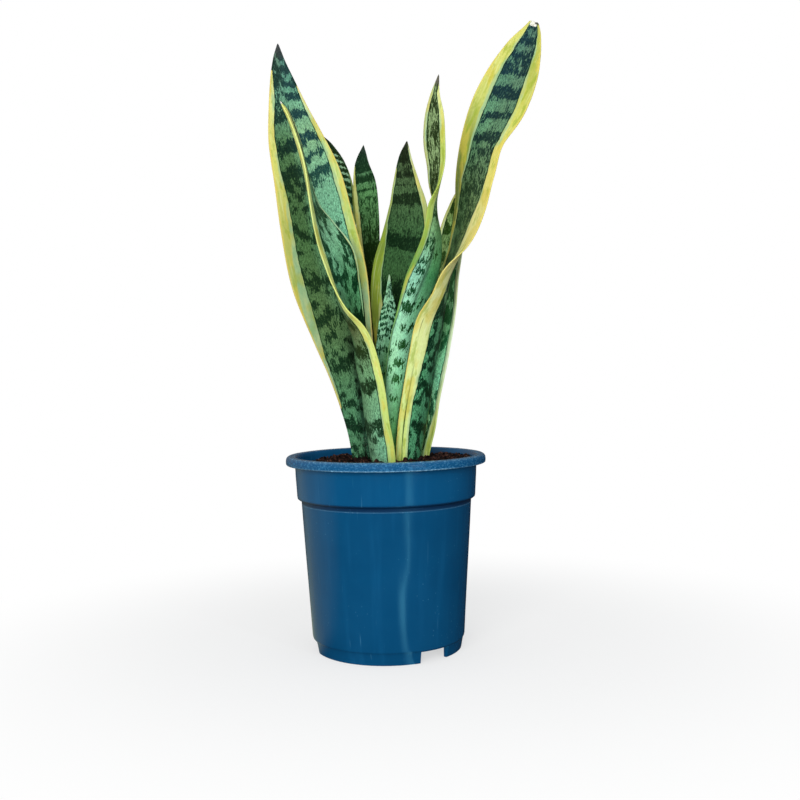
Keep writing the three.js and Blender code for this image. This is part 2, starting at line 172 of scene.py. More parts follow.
class Shader:
    """Adds and links the nodes of a material or of the world."""

    def __init__(self, owner):
        owner.use_nodes = True
        self.owner = owner
        self.tree = owner.node_tree

    def put(self, socket, value):
        if isinstance(value, bpy.types.NodeSocket):
            self.tree.links.new(value, socket)
        else:
            socket.default_value = value

    def node(self, kind, inputs=None, **settings):
        """Outputs of a new node. Its inputs are given by index or name."""
        made = self.tree.nodes.new(kind)
        for key, value in settings.items():
            setattr(made, key, value)
        for key, value in (inputs or {}).items():
            self.put(made.inputs[key], value)
        return made.outputs

    def math(self, operation, a, b=0.0):
        return self.node("ShaderNodeMath", {0: a, 1: b}, operation=operation)[0]

    def add(self, total, *others):
        for other in others:
            total = self.math("ADD", total, other)
        return total

    def product(self, total, *others):
        for other in others:
            total = self.math("MULTIPLY", total, other)
        return total

    def step(self, value, low, high):
        """0 below low, 1 above high, smooth between."""
        inputs = {0: value, 1: low, 2: high}
        return self.node("ShaderNodeMapRange", inputs, interpolation_type="SMOOTHSTEP")[0]

    def remap(self, value, low, high, start=0.0, end=1.0):
        """The stretch from start to end as low to high."""
        return self.node("ShaderNodeMapRange", {0: value, 1: start, 2: end, 3: low, 4: high})[0]

    def mix(self, factor, a, b, blend="MIX"):
        inputs = {0: factor, 6: a, 7: b}
        return self.node("ShaderNodeMix", inputs, data_type="RGBA", blend_type=blend)[2]

    def times(self, colour, value):
        return self.mix(1.0, colour, value, "MULTIPLY")

    def tint(self, colour, paint, where, most, least=0.0):
        """The colour with paint over it: its least share where that is 0, its most at 1."""
        return self.mix(self.remap(where, least, most), colour, paint)

    def attribute(self, name, output="Fac"):
        return self.node("ShaderNodeAttribute", attribute_name=name)[output]

    def place(self):
        """Place in the frame, in metres."""
        return self.node("ShaderNodeTexCoord")["Object"]

    def axes(self, vector):
        return self.node("ShaderNodeSeparateXYZ", {0: vector})

    def noise(self, vector, scale, detail=2.0, roughness=0.5):
        """Noise from 0 to 1. The scale is one number or three, one for each axis."""
        if isinstance(scale, tuple):
            inputs = {0: vector, 1: scale}
            vector = self.node("ShaderNodeVectorMath", inputs, operation="MULTIPLY")[0]
            scale = 1.0
        inputs = {"Vector": vector, "Scale": scale, "Detail": detail, "Roughness": roughness}
        return self.node("ShaderNodeTexNoise", inputs)["Fac"]

    def dots(self, vector, scale, radius):
        """1 inside small dots scattered one to a cell."""
        cells = self.node("ShaderNodeTexVoronoi", {"Vector": vector, "Scale": scale})
        return self.step(cells["Distance"], radius, radius * 0.5)

    def centred(self, value, amplitude):
        """A 0-1 noise as a value about zero."""
        return self.product(self.math("SUBTRACT", value, 0.5), amplitude)

    def bumps(self, *layers):
        """Normal with one bump on the other, each as height, strength and distance in metres."""
        inputs = {}
        for height, strength, distance in layers:
            inputs.update(Height=height, Strength=strength, Distance=distance)
            inputs["Normal"] = self.node("ShaderNodeBump", inputs)["Normal"]
        return inputs["Normal"]

    def mix_shader(self, factor, a, b):
        return self.node("ShaderNodeMixShader", {0: factor, 1: a, 2: b})[0]

    def finish(self, **sockets):
        """Sets inputs of the Principled shader and gives the material."""
        principled = self.tree.nodes["Principled BSDF"]
        for name, value in sockets.items():
            self.put(principled.inputs[name.replace("_", " ")], value)
        return self.owner


# ---------- leaves: shape ----------

# One row per station of a blade, from the foot to the tip: height, x, y, width over the curve,
# turn, curl of the left half and of the right half in degrees, or one curl for both halves.
# They are the rows of the CAD blades, so each fine leaf lies on its solid.
LEAF_ROWS = {
    "leaf_tall_left": (
        (109, -15, 11.5, 17, 5, 45), (144, -17, 12, 20, 5, 45), (168, -19, 14, 23.5, 4, 38),
        (202, -24, 16, 34.5, 4, 30), (240, -32.5, 16, 48, 6, 22), (279, -41, 14, 59, 8, 19),
        (317, -49, 13, 57.5, 10, 17), (355, -56, 14, 52, 11, 16), (386, -65, 16, 42, 12, 17),
        (409, -70.5, 18, 30.5, 13, 19), (433, -75, 21, 18, 14, 22), (448, -77, 23, 9, 15, 22),
        (460, -77.5, 24, 2, 15, 15),
    ),
    "leaf_edge_left": (
        (109, -4, -7, 23, 142, 38), (145, -5, -9, 26, 140, 37), (169, -8.5, -10, 27, 134, 35),
        (195, -12, -11, 30, 126, 33), (217, -17.5, -12, 34, 120, 38),
        (236, -22.5, -12, 38, 96, 58, 62), (254, -28, -12, 39, 72, 46, 50),
        (273, -30.5, -12, 38, 57, 26), (295, -35, -12, 37, 50, 19), (314, -43.5, -12, 33, 64, 17),
        (332, -50.5, -13, 28, 81, 13), (357, -55.5, -14, 22, 87, 11), (379, -61, -14, 16, 82, 13),
        (398, -67.5, -14, 9, 78, 13), (407, -72.5, -14, 2, 76, 13),
    ),
    "leaf_back_left": (
        (109, -18.5, 20, 16, 24, 45), (143, -20, 21, 17, 24, 45), (186, -22, 26, 20, 28, 32),
        (233, -28, 32, 25, 34, 26), (280, -34, 36, 29, 38, 22), (320, -35.5, 41, 34, 40, 20),
        (352, -36, 43, 32, 40, 19), (372, -39.5, 44, 26, 40, 18), (386, -43.5, 45, 15, 40, 16),
        (395, -46.5, 45, 2.5, 40, 15),
    ),
    "leaf_back_dark": (
        (109, -8.5, 29, 13, -10, 40), (142, -9.5, 31, 14, -10, 40), (186, -8.5, 34, 16, -12, 30),
        (233, -8, 38, 18, -14, 24), (273, -8, 42, 19, -16, 21), (304, -10, 43, 18.5, -20, 19),
        (332, -11, 43, 20, -24, 18), (356, -12.5, 44, 20, -26, 17),
        (372, -14.5, 44, 12.5, -26, 17), (386, -13.5, 44, 2, -26, 15),
    ),
    "leaf_back_centre": (
        (109, 4.5, 20.5, 16, -4, 45), (142, 5.5, 22, 17, -4, 45), (186, 7, 23, 22, -4, 35),
        (232, 7.5, 24, 30, -4, 27), (264, 8, 26, 36, -2, 24), (287, 11, 28, 37.5, 0, 22),
        (310, 17.5, 29, 36.5, 2, 20), (334, 20.5, 30, 30.5, 4, 18), (353, 19.5, 31, 21.5, 5, 17),
        (373, 19, 31, 10.5, 6, 17), (386, 20.5, 31, 2, 6, 15),
    ),
    "leaf_twisted": (
        (109, 2, 2.5, 11, -178, 40), (144, 2.5, 3, 11, -178, 40), (168, 4, 2, 11.5, -178, 37),
        (187, 6, 1, 13, -178, 35), (209, 8.5, -1, 15, -177, 31), (232, 13, -5, 16, -176, 28),
        (254, 20, -9, 18.5, -174, 25), (272, 27, -13, 23, -168, 23),
        (288, 33.5, -16, 23, -153, 20), (302, 37, -19, 22, -135, 18),
        (315, 38.5, -22, 21, -118, 18, 30), (329, 39, -24, 20, -100, 22, 45),
        (343, 40.5, -26, 19.5, -68, 18, 40), (357, 41, -27, 18, -48, 16, 24),
        (375, 39.5, -28, 17, -24, 18), (393, 39.5, -29, 13.5, -8, 20), (407, 40, -30, 6.5, 0, 20),
        (420, 42.5, -30, 1.5, 0, 15),
    ),
    "leaf_baby": (
        (109, 0.5, 12, 8.5, -4, 45), (143, 0, 13, 9, -4, 45), (179, -0.5, 13, 10, -4, 40),
        (209, -0.5, 12, 11, -3, 35), (232, 0.5, 11, 11.5, -2, 30), (253, 4, 10, 12, 0, 27),
        (266, 4.5, 10, 6, 2, 27), (281, 5, 10, 1.5, 4, 20),
    ),
    "leaf_big_right": (
        (109, 17.5, 0, 23, -147, 46), (144, 20, 0, 26, -146, 46), (168, 23.5, 0, 29, -144, 45),
        (194, 28.5, -1, 31, -140, 44), (220, 34, -3, 34, -134, 43), (242, 39.5, -5, 38, -126, 43),
        (261, 45.5, -8, 40, -104, 42, 44), (279, 49.5, -11, 42, -92, 32, 36),
        (301, 58, -13, 43, -82, 18, 0), (326, 65, -16, 43, -68, 8, -6),
        (351, 69, -18, 42, -55, 8, -4), (376, 75, -20, 37.5, -40, 12, 4),
        (401, 87.5, -21, 40.5, -18, 18, 16), (422, 97.5, -22, 36.5, -10, 17),
        (440, 105.3, -22, 26.5, -7, 15), (452, 110.5, -22, 15.5, -5, 13),
        (460, 113, -22, 6.5, -5, 10),
    ),
    "leaf_right": (
        (109, 24.5, 15, 20, -38, 40), (143, 27, 16, 22, -38, 40), (167, 32, 17, 25, -40, 33),
        (193, 35, 18, 28, -41, 28), (224, 40.5, 18, 30, -42, 25), (255, 46.5, 19, 30, -42, 23),
        (282, 49, 20, 29, -40, 21), (305, 53, 22, 24.5, -36, 19), (325, 57, 24, 19, -32, 18),
        (339, 59, 25, 10, -28, 17), (348, 60, 25, 2, -26, 15),
    ),
}
LEAF_THICKNESS = {
    "leaf_tall_left": 3.4, "leaf_edge_left": 3, "leaf_back_left": 2.8, "leaf_back_dark": 2.6,
    "leaf_back_centre": 2.8, "leaf_twisted": 2.8, "leaf_baby": 2.2, "leaf_big_right": 3.4,
    "leaf_right": 3,
}

LEAF_SEED = 100
BLADE_FOOT = 116  # the fine blades end here, inside the soil
EDGE_THICKNESS = 1.1
EDGE_ROOM = 0.3  # part of the half width that the rounded edge takes
LEAST_HALF = 0.12
FLAT_CURL = 1e-4  # radians that stand for no curl
WRINKLE = 0.5  # how far the edges wave in and out
WRINKLE_WAVE = 15
ROW_STEP = 1.0
SAMPLES_ACROSS = 28
EDGE_ARC = (60, 30, 0, -30, -60)
AWN_LENGTH = 1.4  # thin point above the tip of a whole blade
CUT_LEAF = "leaf_big_right"  # its tip is cut off and dried
CUT_TIP_RINGS = (456.3, 456.9, 457.6, 458.3, 458.8)  # heights of more rings near the cut
CUT_TIP_HALF = 3.0  # half width of the dried end, which lies between the margins
CUT_TIP_BLEND = 0.4
RAGGED_TIP = (-0.7, 0.5)  # lowest and highest shift of its last ring


# ---------- leaves: markings ----------

# Width of the yellow margin with its mint inner zone, as (height, mm from the edge).
# "mint" is the width of that inner zone. A blade without a margin has -3.
MARGINS = {
    "leaf_tall_left": {
        "left": (
            (176, -1), (188, 0.8), (221, 2.4), (238, 5.5), (252, 7.4), (267, 9.1), (284, 9.6),
            (298, 9), (326, 9), (341, 8.2), (365, 5.4), (380, 5), (396, 3.9), (416, 4.3),
            (431, 1.9), (444, -1),
        ),
        "right": (
            (150, 0.5), (200, 2), (240, 4), (281, 5.5), (305, 6.4), (336, 6), (350, 6.4),
            (365, 4.8), (381, 3.4), (397, 2.6), (415, 1.2), (430, -0.4), (436, -1),
        ),
        "mint": ((200, 2), (236, 5.6), (262, 6.6), (288, 5), (308, 3), (340, 1.8), (430, 2.2)),
    },
    "leaf_edge_left": {
        "left": (
            (115, 5), (230, 4.8), (246, 4.2), (262, 4.4), (280, 5.2), (330, 6.6), (350, 7.5),
            (380, 6.4), (400, 4), (407, 2),
        ),
        "right": ((236, -1), (250, 0.5), (262, 1), (320, 1.2), (345, 3), (380, 4), (405, 1)),
        "mint": ((115, 0.8), (250, 1), (300, 1.6), (400, 0.8)),
    },
    "leaf_back_left": {
        "left": ((220, -1), (250, 2), (300, 3.4), (370, 2.2), (392, 0.5)),
        "right": ((220, -1), (250, 2), (300, 2.4), (350, 1.4), (366, 0), (376, -1)),
        "mint": ((400, 1),),
    },
    "leaf_back_dark": {
        "left": ((115, 4), (296, 4.6), (320, 3.6), (345, 3), (360, 1.7), (367, 0.8), (376, -1)),
        "right": ((115, 2), (230, 1), (250, -1)),
        "mint": ((400, 0.8),),
    },
    "leaf_back_centre": {
        "left": (
            (115, 6), (200, 8), (240, 9.5), (262, 8.9), (291, 6.6), (306, 4), (323, 1.3),
            (341, 0.9), (357, 0.8), (368, 0), (380, -1),
        ),
        "right": (
            (115, 3), (250, 2.4), (300, 1.6), (330, 3.2), (340, 3.6), (357, 2), (372, 1),
            (384, 0.5),
        ),
        "mint": ((400, 0.8),),
    },
    "leaf_twisted": {
        "left": ((300, -1), (318, 0), (330, 1.4), (360, 2), (390, 1.6), (410, 0.8), (416, 0)),
        "right": (
            (115, 0), (236, 0.2), (250, 1), (264, 2.2), (300, 3.4), (318, 4.6), (340, 5.4),
            (366, 4), (390, 3.4), (408, 1.4), (416, 0),
        ),
        "mint": ((115, 0.4), (240, 0.8), (300, 1), (420, 0.8)),
    },
    "leaf_baby": {
        "left": ((300, -3),),
        "right": ((300, -3),),
        "mint": ((300, 0),),
    },
    "leaf_big_right": {
        "left": (
            (200, 2), (260, 2.5), (300, 3), (334, 5.7), (348, 8.3), (360, 11.3), (374, 10.6),
            (387, 10.8), (401, 10.5), (414, 9.4), (430, 7.2), (437, 6.8), (445, 5), (452, 3.2),
            (458, 1.2),
        ),
        "right": (
            (115, 8.2), (186, 8.1), (200, 9.5), (224, 11.6), (242, 12), (261, 10.5), (276, 12.9),
            (304, 14), (320, 13), (334, 8.8), (348, 6.9), (364, 5.9), (379, 4.5), (393, 7),
            (409, 8.3), (422, 8.5), (435, 6), (453, 2), (459, 0.8),
        ),
        "mint": (
            (260, 1.4), (300, 0.6), (350, 0.8), (375, 1.8), (400, 2.4), (425, 1.8), (455, 0.4),
        ),
    },
    "leaf_right": {
        "left": ((115, 3), (250, 2.6), (300, 2.5), (340, 1.5)),
        "right": ((115, 8), (165, 7.4), (180, 3), (200, 2.5), (262, 2.5), (330, 2), (342, 1)),
        "mint": ((115, 2), (176, 1.4), (190, 2), (340, 1)),
    },
}

# Cross bands of a face from the foot up: (height of the lower edge, how light the band is).
# 1 is light, -1 dark and 0 an even mixture. Faces that the photo doesn't show have none here.
BANDS = {
    ("leaf_tall_left", "inner left"): (
        (115, -1), (144, -0.3), (148, 0.5), (160, -0.7), (172, 0.7), (181, -0.2), (187, 0.5),
        (214, -0.9), (222, 0.3), (245, -0.7), (254, 0.4), (272, -0.4), (284, 0.6), (310, -0.9),
        (317, 0.5), (334, 0.2), (348, -0.5), (358, -0.9), (369, 0.8), (376, -1), (386, 0.9),
        (398, -1), (409, 0.4), (420, -0.9), (445, 0.5), (448, -1),
    ),
    ("leaf_tall_left", "inner right"): (
        (115, -1), (144, -0.3), (148, 0.5), (160, -0.7), (172, 0.7), (181, -0.2), (187, 0.4),
        (214, -0.9), (222, 0.4), (245, -0.4), (256, 0.6), (272, -0.3), (284, 0.9), (315, -1),
        (319, 1.2), (350, -0.9), (359, 1), (367, -0.8), (370, 1), (378, -1), (387, 1),
        (399, -1.1), (408, 1), (415, -1), (421, 0.8), (426, -1), (432, 0.1), (437, -0.9),
        (445, 0.8), (448, -1.2),
    ),
    ("leaf_edge_left", "inner"): (
        (115, 0), (226, 0.5), (240, -0.3), (252, 0.5), (272, -0.8), (280, 0.6), (296, 0.1),
        (306, 0.6), (323, -0.6), (332, 0.7), (352, -0.6), (360, 0.5), (380, -0.6),
    ),
    ("leaf_edge_left", "outer"): (
        (115, 0), (140, 0.8), (158, 0), (164, -1), (172, 0.9), (193, -1), (202, 1), (212, -0.8),
        (214, 0.8), (219, -1), (228, 0.9), (239, -0.2), (252, 0.5), (264, -0.7), (274, 0.7),
        (290, -0.8), (300, 0.6), (318, -0.6), (330, 0.6), (350, -0.8), (362, 0.5), (380, -0.7),
    ),
    ("leaf_back_left", "inner"): (
        (115, -0.8), (200, -0.2), (230, -1), (280, -0.4), (300, -0.6), (318, 0.2), (328, -0.6),
        (340, 0.3), (346, -1), (352, 0.8), (353.5, -1), (357, 0.7), (358.5, -1), (362, 0.9),
        (364, -1), (367, 0.9), (368.5, -1), (372, 0.8), (373.5, -1), (376.5, 0.8), (378, -1),
        (381, 0.6), (382.5, -1), (388, -1),
    ),
    ("leaf_back_dark", "inner"): (
        (115, -0.8), (260, -0.4), (296, -0.8), (311, -0.3), (320, 0.1), (346, 0.8), (351, -0.9),
        (353, 1), (358, -1), (364, 0.6), (366, -1.2),
    ),
    ("leaf_back_centre", "inner"): (
        (115, -0.6), (200, 0.3), (240, -0.6), (268, -0.3), (280, 0.9), (303, -1), (314, 0.3),
        (338, -1), (347, 0.9), (353, -0.7), (354, 0.9), (359, -0.9), (364, 0.2), (370, -1.2),
    ),
    ("leaf_twisted", "inner"): (
        (115, 0), (320, -0.5), (340, -0.6), (352, -0.1), (358, -0.5), (366, 0), (373, -0.4),
        (384, 0.1), (391, -0.5), (402, -0.2), (410, -0.9),
    ),
    ("leaf_twisted", "outer left"): (
        (115, 0.9), (262, 1), (292, 0.8), (322, 0.9), (344, -0.6), (352, 0.5),
    ),
    ("leaf_twisted", "outer"): (
        (115, 0.9), (262, -0.3), (267, 0.6), (271, -0.3), (275, 0.8), (279, -0.3), (283, 0.8),
        (288, -0.4), (292, 0.8), (298, -0.2), (308, 0.8), (322, -0.6), (330, 0.5), (344, -0.8),
        (352, 0.5),
    ),
    ("leaf_baby", "inner"): (
        (115, 0.8), (206, 0.1), (214, 0.8), (224, -0.4), (229, 1), (235, -0.7), (237.5, 1.1),
        (240, -1.2), (242.5, 0.9), (244, -0.8), (247, 1.2), (249, -1.2), (252, 0.8),
        (253.5, -0.6), (256, 1.2), (257.5, -1.2), (259.5, 0.8), (261, -0.6), (263.5, 1),
        (265, -0.8), (267, 1), (268.5, -0.5), (270, 1), (272, -0.3), (274, 1),
    ),
    ("leaf_big_right", "inner"): (
        (115, -0.5), (240, -0.9), (290, 0), (312, -0.1), (334, -0.3), (348, -0.1), (364, 0),
        (373, -0.9), (381, 0.9), (390, -1), (395, 0.9), (404, -1.1), (413, 0.9), (421, -0.9),
        (426, -0.1), (433, -0.8), (439, 0.7), (444, -1), (450, 0.3), (455, -1),
    ),
    ("leaf_big_right", "outer"): (
        (115, -1), (144, 0.8), (162, -0.9), (173, 0.9), (183, -0.6), (186, 0.3), (191, -1),
        (202, 0.8), (209, -0.6), (212, 0.8), (221, -1), (231, 0.8), (238, -0.1), (247, -0.9),
        (259, 0.6), (269, -0.8), (280, 0.7), (294, -0.9), (304, 0.8), (322, -0.8), (332, 0.7),
        (348, -0.9), (358, 0.8), (376, -0.8), (388, 0.9), (402, -1), (412, 0.7), (426, -0.9),
        (438, 0.6), (446, -1),
    ),
    ("leaf_right", "inner"): (
        (115, 0.3), (160, 0), (199, -0.9), (205, 0.8), (222, -0.1), (236, 0.9), (243, -0.8),
        (255, 0.9), (260, -0.6), (270, 0.6), (284, -0.7), (296, 0.4), (310, -0.8), (322, 0.3),
        (332, -1),
    ),
}

# Colours (sRGB, 0 to 255) that run along a leaf: (height, left half, right half), or
# (height, both halves). Between two heights they blend. Besides the leaves' own colours they
# hold painted light and shade: the half of a curled blade that faces the light is lighter than
# the half turned away, blades deep among others are darker with painted shade or lightened
# against the shade they lie in, and the teal in the dark greens is a painted sheen of the sky.
LIGHT_GREEN = {
    "leaf_tall_left": (
        (180, (80, 132, 94), (44, 86, 62)), (245, (88, 120, 74), (74, 104, 66)),
        (310, (76, 114, 68), (116, 180, 144)), (355, (72, 105, 65), (120, 176, 140)),
        (385, (78, 118, 76), (132, 178, 132)), (425, (96, 144, 120), (92, 148, 122)),
        (452, (90, 122, 104), (72, 112, 104)),
    ),
    "leaf_edge_left": (
        (150, (115, 172, 136), (108, 155, 120)), (205, (112, 160, 114)),
        (240, (92, 104, 64), (66, 112, 72)), (275, (98, 164, 124), (84, 148, 102)),
        (310, (122, 178, 140)), (390, (110, 150, 100)),
    ),
    "leaf_back_left": ((130, (70, 110, 70)), (350, (118, 172, 126)), (366, (152, 192, 152))),
    "leaf_back_dark": (
        (280, (54, 72, 24)), (310, (66, 100, 58)), (350, (86, 136, 84)), (380, (74, 110, 86)),
    ),
    "leaf_back_centre": ((240, (46, 80, 40)), (310, (57, 94, 56)), (375, (72, 93, 60))),
    "leaf_twisted": (
        (150, (86, 166, 76)), (190, (130, 200, 148), (144, 208, 160)),
        (225, (138, 200, 164), (158, 216, 174)), (280, (66, 132, 84), (134, 192, 166)),
        (312, (110, 160, 110), (132, 182, 130)), (345, (119, 143, 97)),
    ),
    "leaf_baby": (
        (205, (76, 138, 88), (96, 158, 88)), (240, (148, 208, 168), (114, 170, 138)),
        (272, (140, 194, 154), (132, 184, 150)),
    ),
    "leaf_big_right": (
        (150, (64, 128, 90), (76, 140, 100)), (210, (64, 118, 86), (80, 152, 106)),
        (255, (64, 110, 76), (104, 172, 122)), (272, (56, 88, 48), (120, 140, 90)),
        (310, (82, 114, 74), (120, 144, 90)), (345, (86, 117, 78), (94, 123, 84)),
        (385, (90, 138, 102), (86, 122, 90)), (450, (72, 112, 95), (80, 112, 92)),
    ),
    "leaf_right": (
        (150, (90, 124, 80), (150, 204, 130)), (200, (90, 124, 80), (132, 208, 168)),
        (240, (90, 124, 76), (116, 184, 128)), (280, (150, 176, 108), (140, 204, 146)),
        (310, (100, 134, 80)), (345, (130, 156, 84)),
    ),
}
# Dark band colours, with the same painted light and shade; their teal is a painted sheen of the
# sky.
DARK_GREEN = {
    "leaf_tall_left": (
        (180, (19, 60, 36), (6, 36, 16)), (245, (35, 69, 39), (19, 47, 20)),
        (300, (36, 67, 38), (48, 98, 66)), (350, (32, 62, 38), (42, 95, 82)),
        (385, (27, 61, 48), (34, 82, 84)), (420, (35, 76, 66), (38, 80, 80)),
        (452, (40, 68, 58), (46, 76, 76)),
    ),
    "leaf_edge_left": (
        (135, (56, 96, 68), (42, 80, 54)), (170, (30, 66, 37)), (210, (34, 66, 30)),
        (240, (58, 78, 30), (10, 52, 20)), (275, (23, 77, 48), (16, 69, 37)), (310, (32, 84, 52)),
    ),
    "leaf_back_left": ((130, (30, 60, 40)), (350, (32, 74, 28)), (390, (42, 70, 36))),
    "leaf_back_dark": (
        (280, (30, 48, 7)), (310, (28, 57, 18)), (350, (29, 70, 35)), (380, (30, 60, 42)),
    ),
    "leaf_back_centre": ((240, (16, 47, 20)), (310, (22, 55, 29)), (375, (34, 48, 24))),
    "leaf_twisted": (
        (165, (50, 120, 40), (60, 134, 60)), (210, (40, 100, 36), (80, 148, 90)),
        (240, (20, 72, 22), (36, 96, 44)), (280, (18, 58, 20), (26, 84, 52)),
        (312, (46, 86, 34), (34, 91, 54)), (345, (46, 66, 28)),
    ),
    "leaf_baby": ((205, (20, 61, 18), (26, 77, 26)), (240, (22, 84, 48), (6, 58, 26))),
    "leaf_big_right": (
        (150, (10, 54, 30)), (240, (9, 55, 28), (18, 60, 39)), (270, (34, 58, 30), (44, 84, 50)),
        (310, (48, 82, 48), (52, 84, 52)), (350, (40, 68, 42), (50, 76, 53)),
        (385, (24, 57, 60), (32, 62, 60)), (420, (26, 64, 74), (28, 62, 66)),
    ),
    "leaf_right": (
        (150, (30, 60, 20), (24, 74, 36)), (210, (30, 60, 20), (44, 120, 84)),
        (240, (32, 64, 18), (36, 110, 58)), (280, (64, 104, 40), (80, 150, 88)),
        (310, (40, 76, 20), (60, 110, 50)), (345, (46, 76, 12)),
    ),
}
# Margin colours, with the same painted light and shade: margins among other blades are olive with
# shade.
YELLOW = {
    "leaf_tall_left": (
        (200, (80, 92, 44), (84, 100, 44)), (230, (140, 150, 82), (82, 104, 40)),
        (250, (140, 158, 90), (140, 156, 72)), (280, (150, 166, 84), (168, 180, 88)),
        (320, (182, 184, 100), (168, 190, 104)), (385, (207, 208, 112), (190, 206, 130)),
        (420, (213, 216, 138), (200, 214, 160)),
    ),
    "leaf_edge_left": (
        (135, (160, 188, 96), (110, 150, 80)), (170, (182, 205, 112), (150, 180, 90)),
        (250, (210, 221, 126), (120, 166, 112)), (300, (200, 218, 138), (160, 206, 166)),
        (350, (216, 228, 140), (186, 210, 150)), (400, (214, 226, 136), (206, 218, 132)),
    ),
    "leaf_back_left": ((130, (170, 180, 80)), (390, (140, 160, 80))),
    "leaf_back_dark": (
        (250, (166, 168, 74)), (310, (220, 218, 126), (150, 150, 70)),
        (390, (186, 200, 130), (110, 120, 80)),
    ),
    "leaf_back_centre": (
        (240, (102, 118, 44)), (280, (124, 145, 48), (112, 130, 52)),
        (312, (114, 138, 60), (128, 146, 66)), (375, (170, 174, 100), (190, 192, 130)),
    ),
    "leaf_twisted": (
        (180, (120, 160, 90), (112, 170, 96)), (280, (120, 150, 80), (92, 146, 70)),
        (312, (148, 178, 82)), (345, (140, 152, 108), (170, 194, 92)),
        (380, (148, 156, 96), (180, 192, 98)), (410, (180, 180, 112), (206, 208, 138)),
    ),
    "leaf_baby": ((130, (180, 200, 100)),),
    "leaf_big_right": (
        (135, (150, 180, 90), (190, 210, 112)), (190, (160, 190, 100), (203, 221, 143)),
        (260, (120, 150, 80), (208, 214, 146)), (310, (90, 110, 50), (222, 216, 146)),
        (350, (118, 132, 60), (210, 202, 106)), (374, (130, 144, 64), (196, 192, 102)),
        (400, (184, 190, 100), (188, 190, 92)), (425, (194, 196, 104), (166, 172, 78)),
    ),
    "leaf_right": (
        (135, (140, 162, 82)), (170, (160, 180, 100), (180, 196, 112)),
        (210, (166, 190, 110), (206, 228, 190)), (345, (174, 178, 108), (190, 204, 140)),
    ),
}
DARK_DEPTH = 0.52  # share of DARK_GREEN that is used, as the mottling lightens it again
MINT = rgba(122, 170, 134)
CREAM = rgba(226, 232, 178)
OLIVE = rgba(140, 160, 44)
GOLD = rgba(206, 186, 74)
RIM_COLOUR = {"leaf_tall_left": rgba(216, 190, 98), "leaf_big_right": rgba(212, 196, 98)}
DARK_LINE = rgba(14, 42, 22)
SCORCH = rgba(46, 44, 36)
DUST = rgba(168, 184, 166)
SCORCH_FROM, SCORCH_SIDE = (458.2, 458.9), (0.6, 1.6)  # heights, and mm to the right of the middle
DUST_FADE = (178, 145)  # heights
COLOUR_BLEND = (-0.35, 0.35)  # place across where the colours of the halves meet
# Offsets of the noise from leaf to leaf and from the inner to the outer face.
LEAF_OFFSET, FACE_OFFSET, PATCH_OFFSET = 9.7, 4.3, 5.3

# Dried tips: (height where the colour starts, mm over which it sets in, sRGB, its flecks).
TIPS = {
    "leaf_tall_left": (446, 13, (56, 60, 62), (74, 76, 72)),
    "leaf_edge_left": (405, 1, (222, 222, 208), (170, 160, 130)),
    "leaf_back_left": (389, 5, (40, 44, 36), (64, 66, 50)),
    "leaf_back_dark": (378, 9, (38, 52, 48), (58, 66, 58)),
    "leaf_back_centre": (378, 9, (36, 44, 32), (66, 66, 52)),
    "leaf_twisted": (411, 6, (92, 90, 78), (60, 58, 48)),
    "leaf_baby": (275, 4, (160, 190, 156), (120, 164, 126)),
    "leaf_big_right": (456.5, 0.5, (226, 226, 214), (186, 184, 168)),
    "leaf_right": (343, 4, (70, 66, 44), (50, 50, 36)),
}

# How far patches break the cross bands of a face, in mm. Other faces have BROKEN_DEFAULT.
BROKEN = {
    ("leaf_tall_left", "inner"): 5,
    ("leaf_edge_left", "inner"): 9,
    ("leaf_edge_left", "outer"): 4,
    ("leaf_big_right", "inner"): 2.5,
    ("leaf_big_right", "outer"): 9,
    ("leaf_right", "inner"): 8,
    ("leaf_back_left", "inner"): 1.2,
    ("leaf_back_dark", "inner"): 1.2,
    ("leaf_back_centre", "inner"): 1.6,
    ("leaf_baby", "inner"): 1.8,
    ("leaf_twisted", "inner"): 1.5,
    ("leaf_twisted", "outer"): 2,
}
BROKEN_DEFAULT = 3
PATCH_SIZE = (4.5, 6.5)  # across and along the blade

# How ragged the edges of the bands are. Other leaves have 1.
RAGGED = {
    "leaf_back_dark": 0.75, "leaf_back_centre": 0.8, "leaf_back_left": 0.2, "leaf_baby": 0.9,
    "leaf_twisted": 1.25,
}
# Swing of the coarse and the fine noise that make them ragged, in mm.
FLAME_PUSH = 26.0
FLECK_PUSH = 12.0

# How grainy the green is, as (height, share). Other leaves have 1.
GRAINY = {
    "leaf_twisted": ((115, 0.4), (290, 0.5), (330, 1)),
    "leaf_baby": ((300, 0.7),),
    "leaf_back_left": ((340, 1), (352, 0.4)),
}
GRAINY_DEFAULT = ((115, 1),)

# How much higher a band is at its middle than at its ends, in mm.
CHEVRON = {"leaf_baby": 3, "leaf_back_left": 5, "leaf_back_dark": 0.8, "leaf_back_centre": 0.4}

# How much a band drops for each mm towards the right edge of the blade. Others run square to it.
TILT = {"leaf_big_right": -0.26}
BAND_WAVE = 23
BAND_SWING, BAND_SKEW, BAND_BOW = 2.2, 2.6, 3.0  # unevenness of the other bands
TILTED_SWING = 0.8
TONE_AT_EDGE, TONE_DEPTH = 1.2, 5  # tone at the edge of a band, and how far inside it still grows
HALF_BLEND = (-0.2, 0.1)  # place across where the bands of the left half turn into the right's
INVENTED_LEVEL, INVENTED_SPAN = (0.5, 1.1), (5, 15)
BAND_FOOT, BAND_TOP, ABOVE_ALL = 115.0, 460, 500.0  # heights

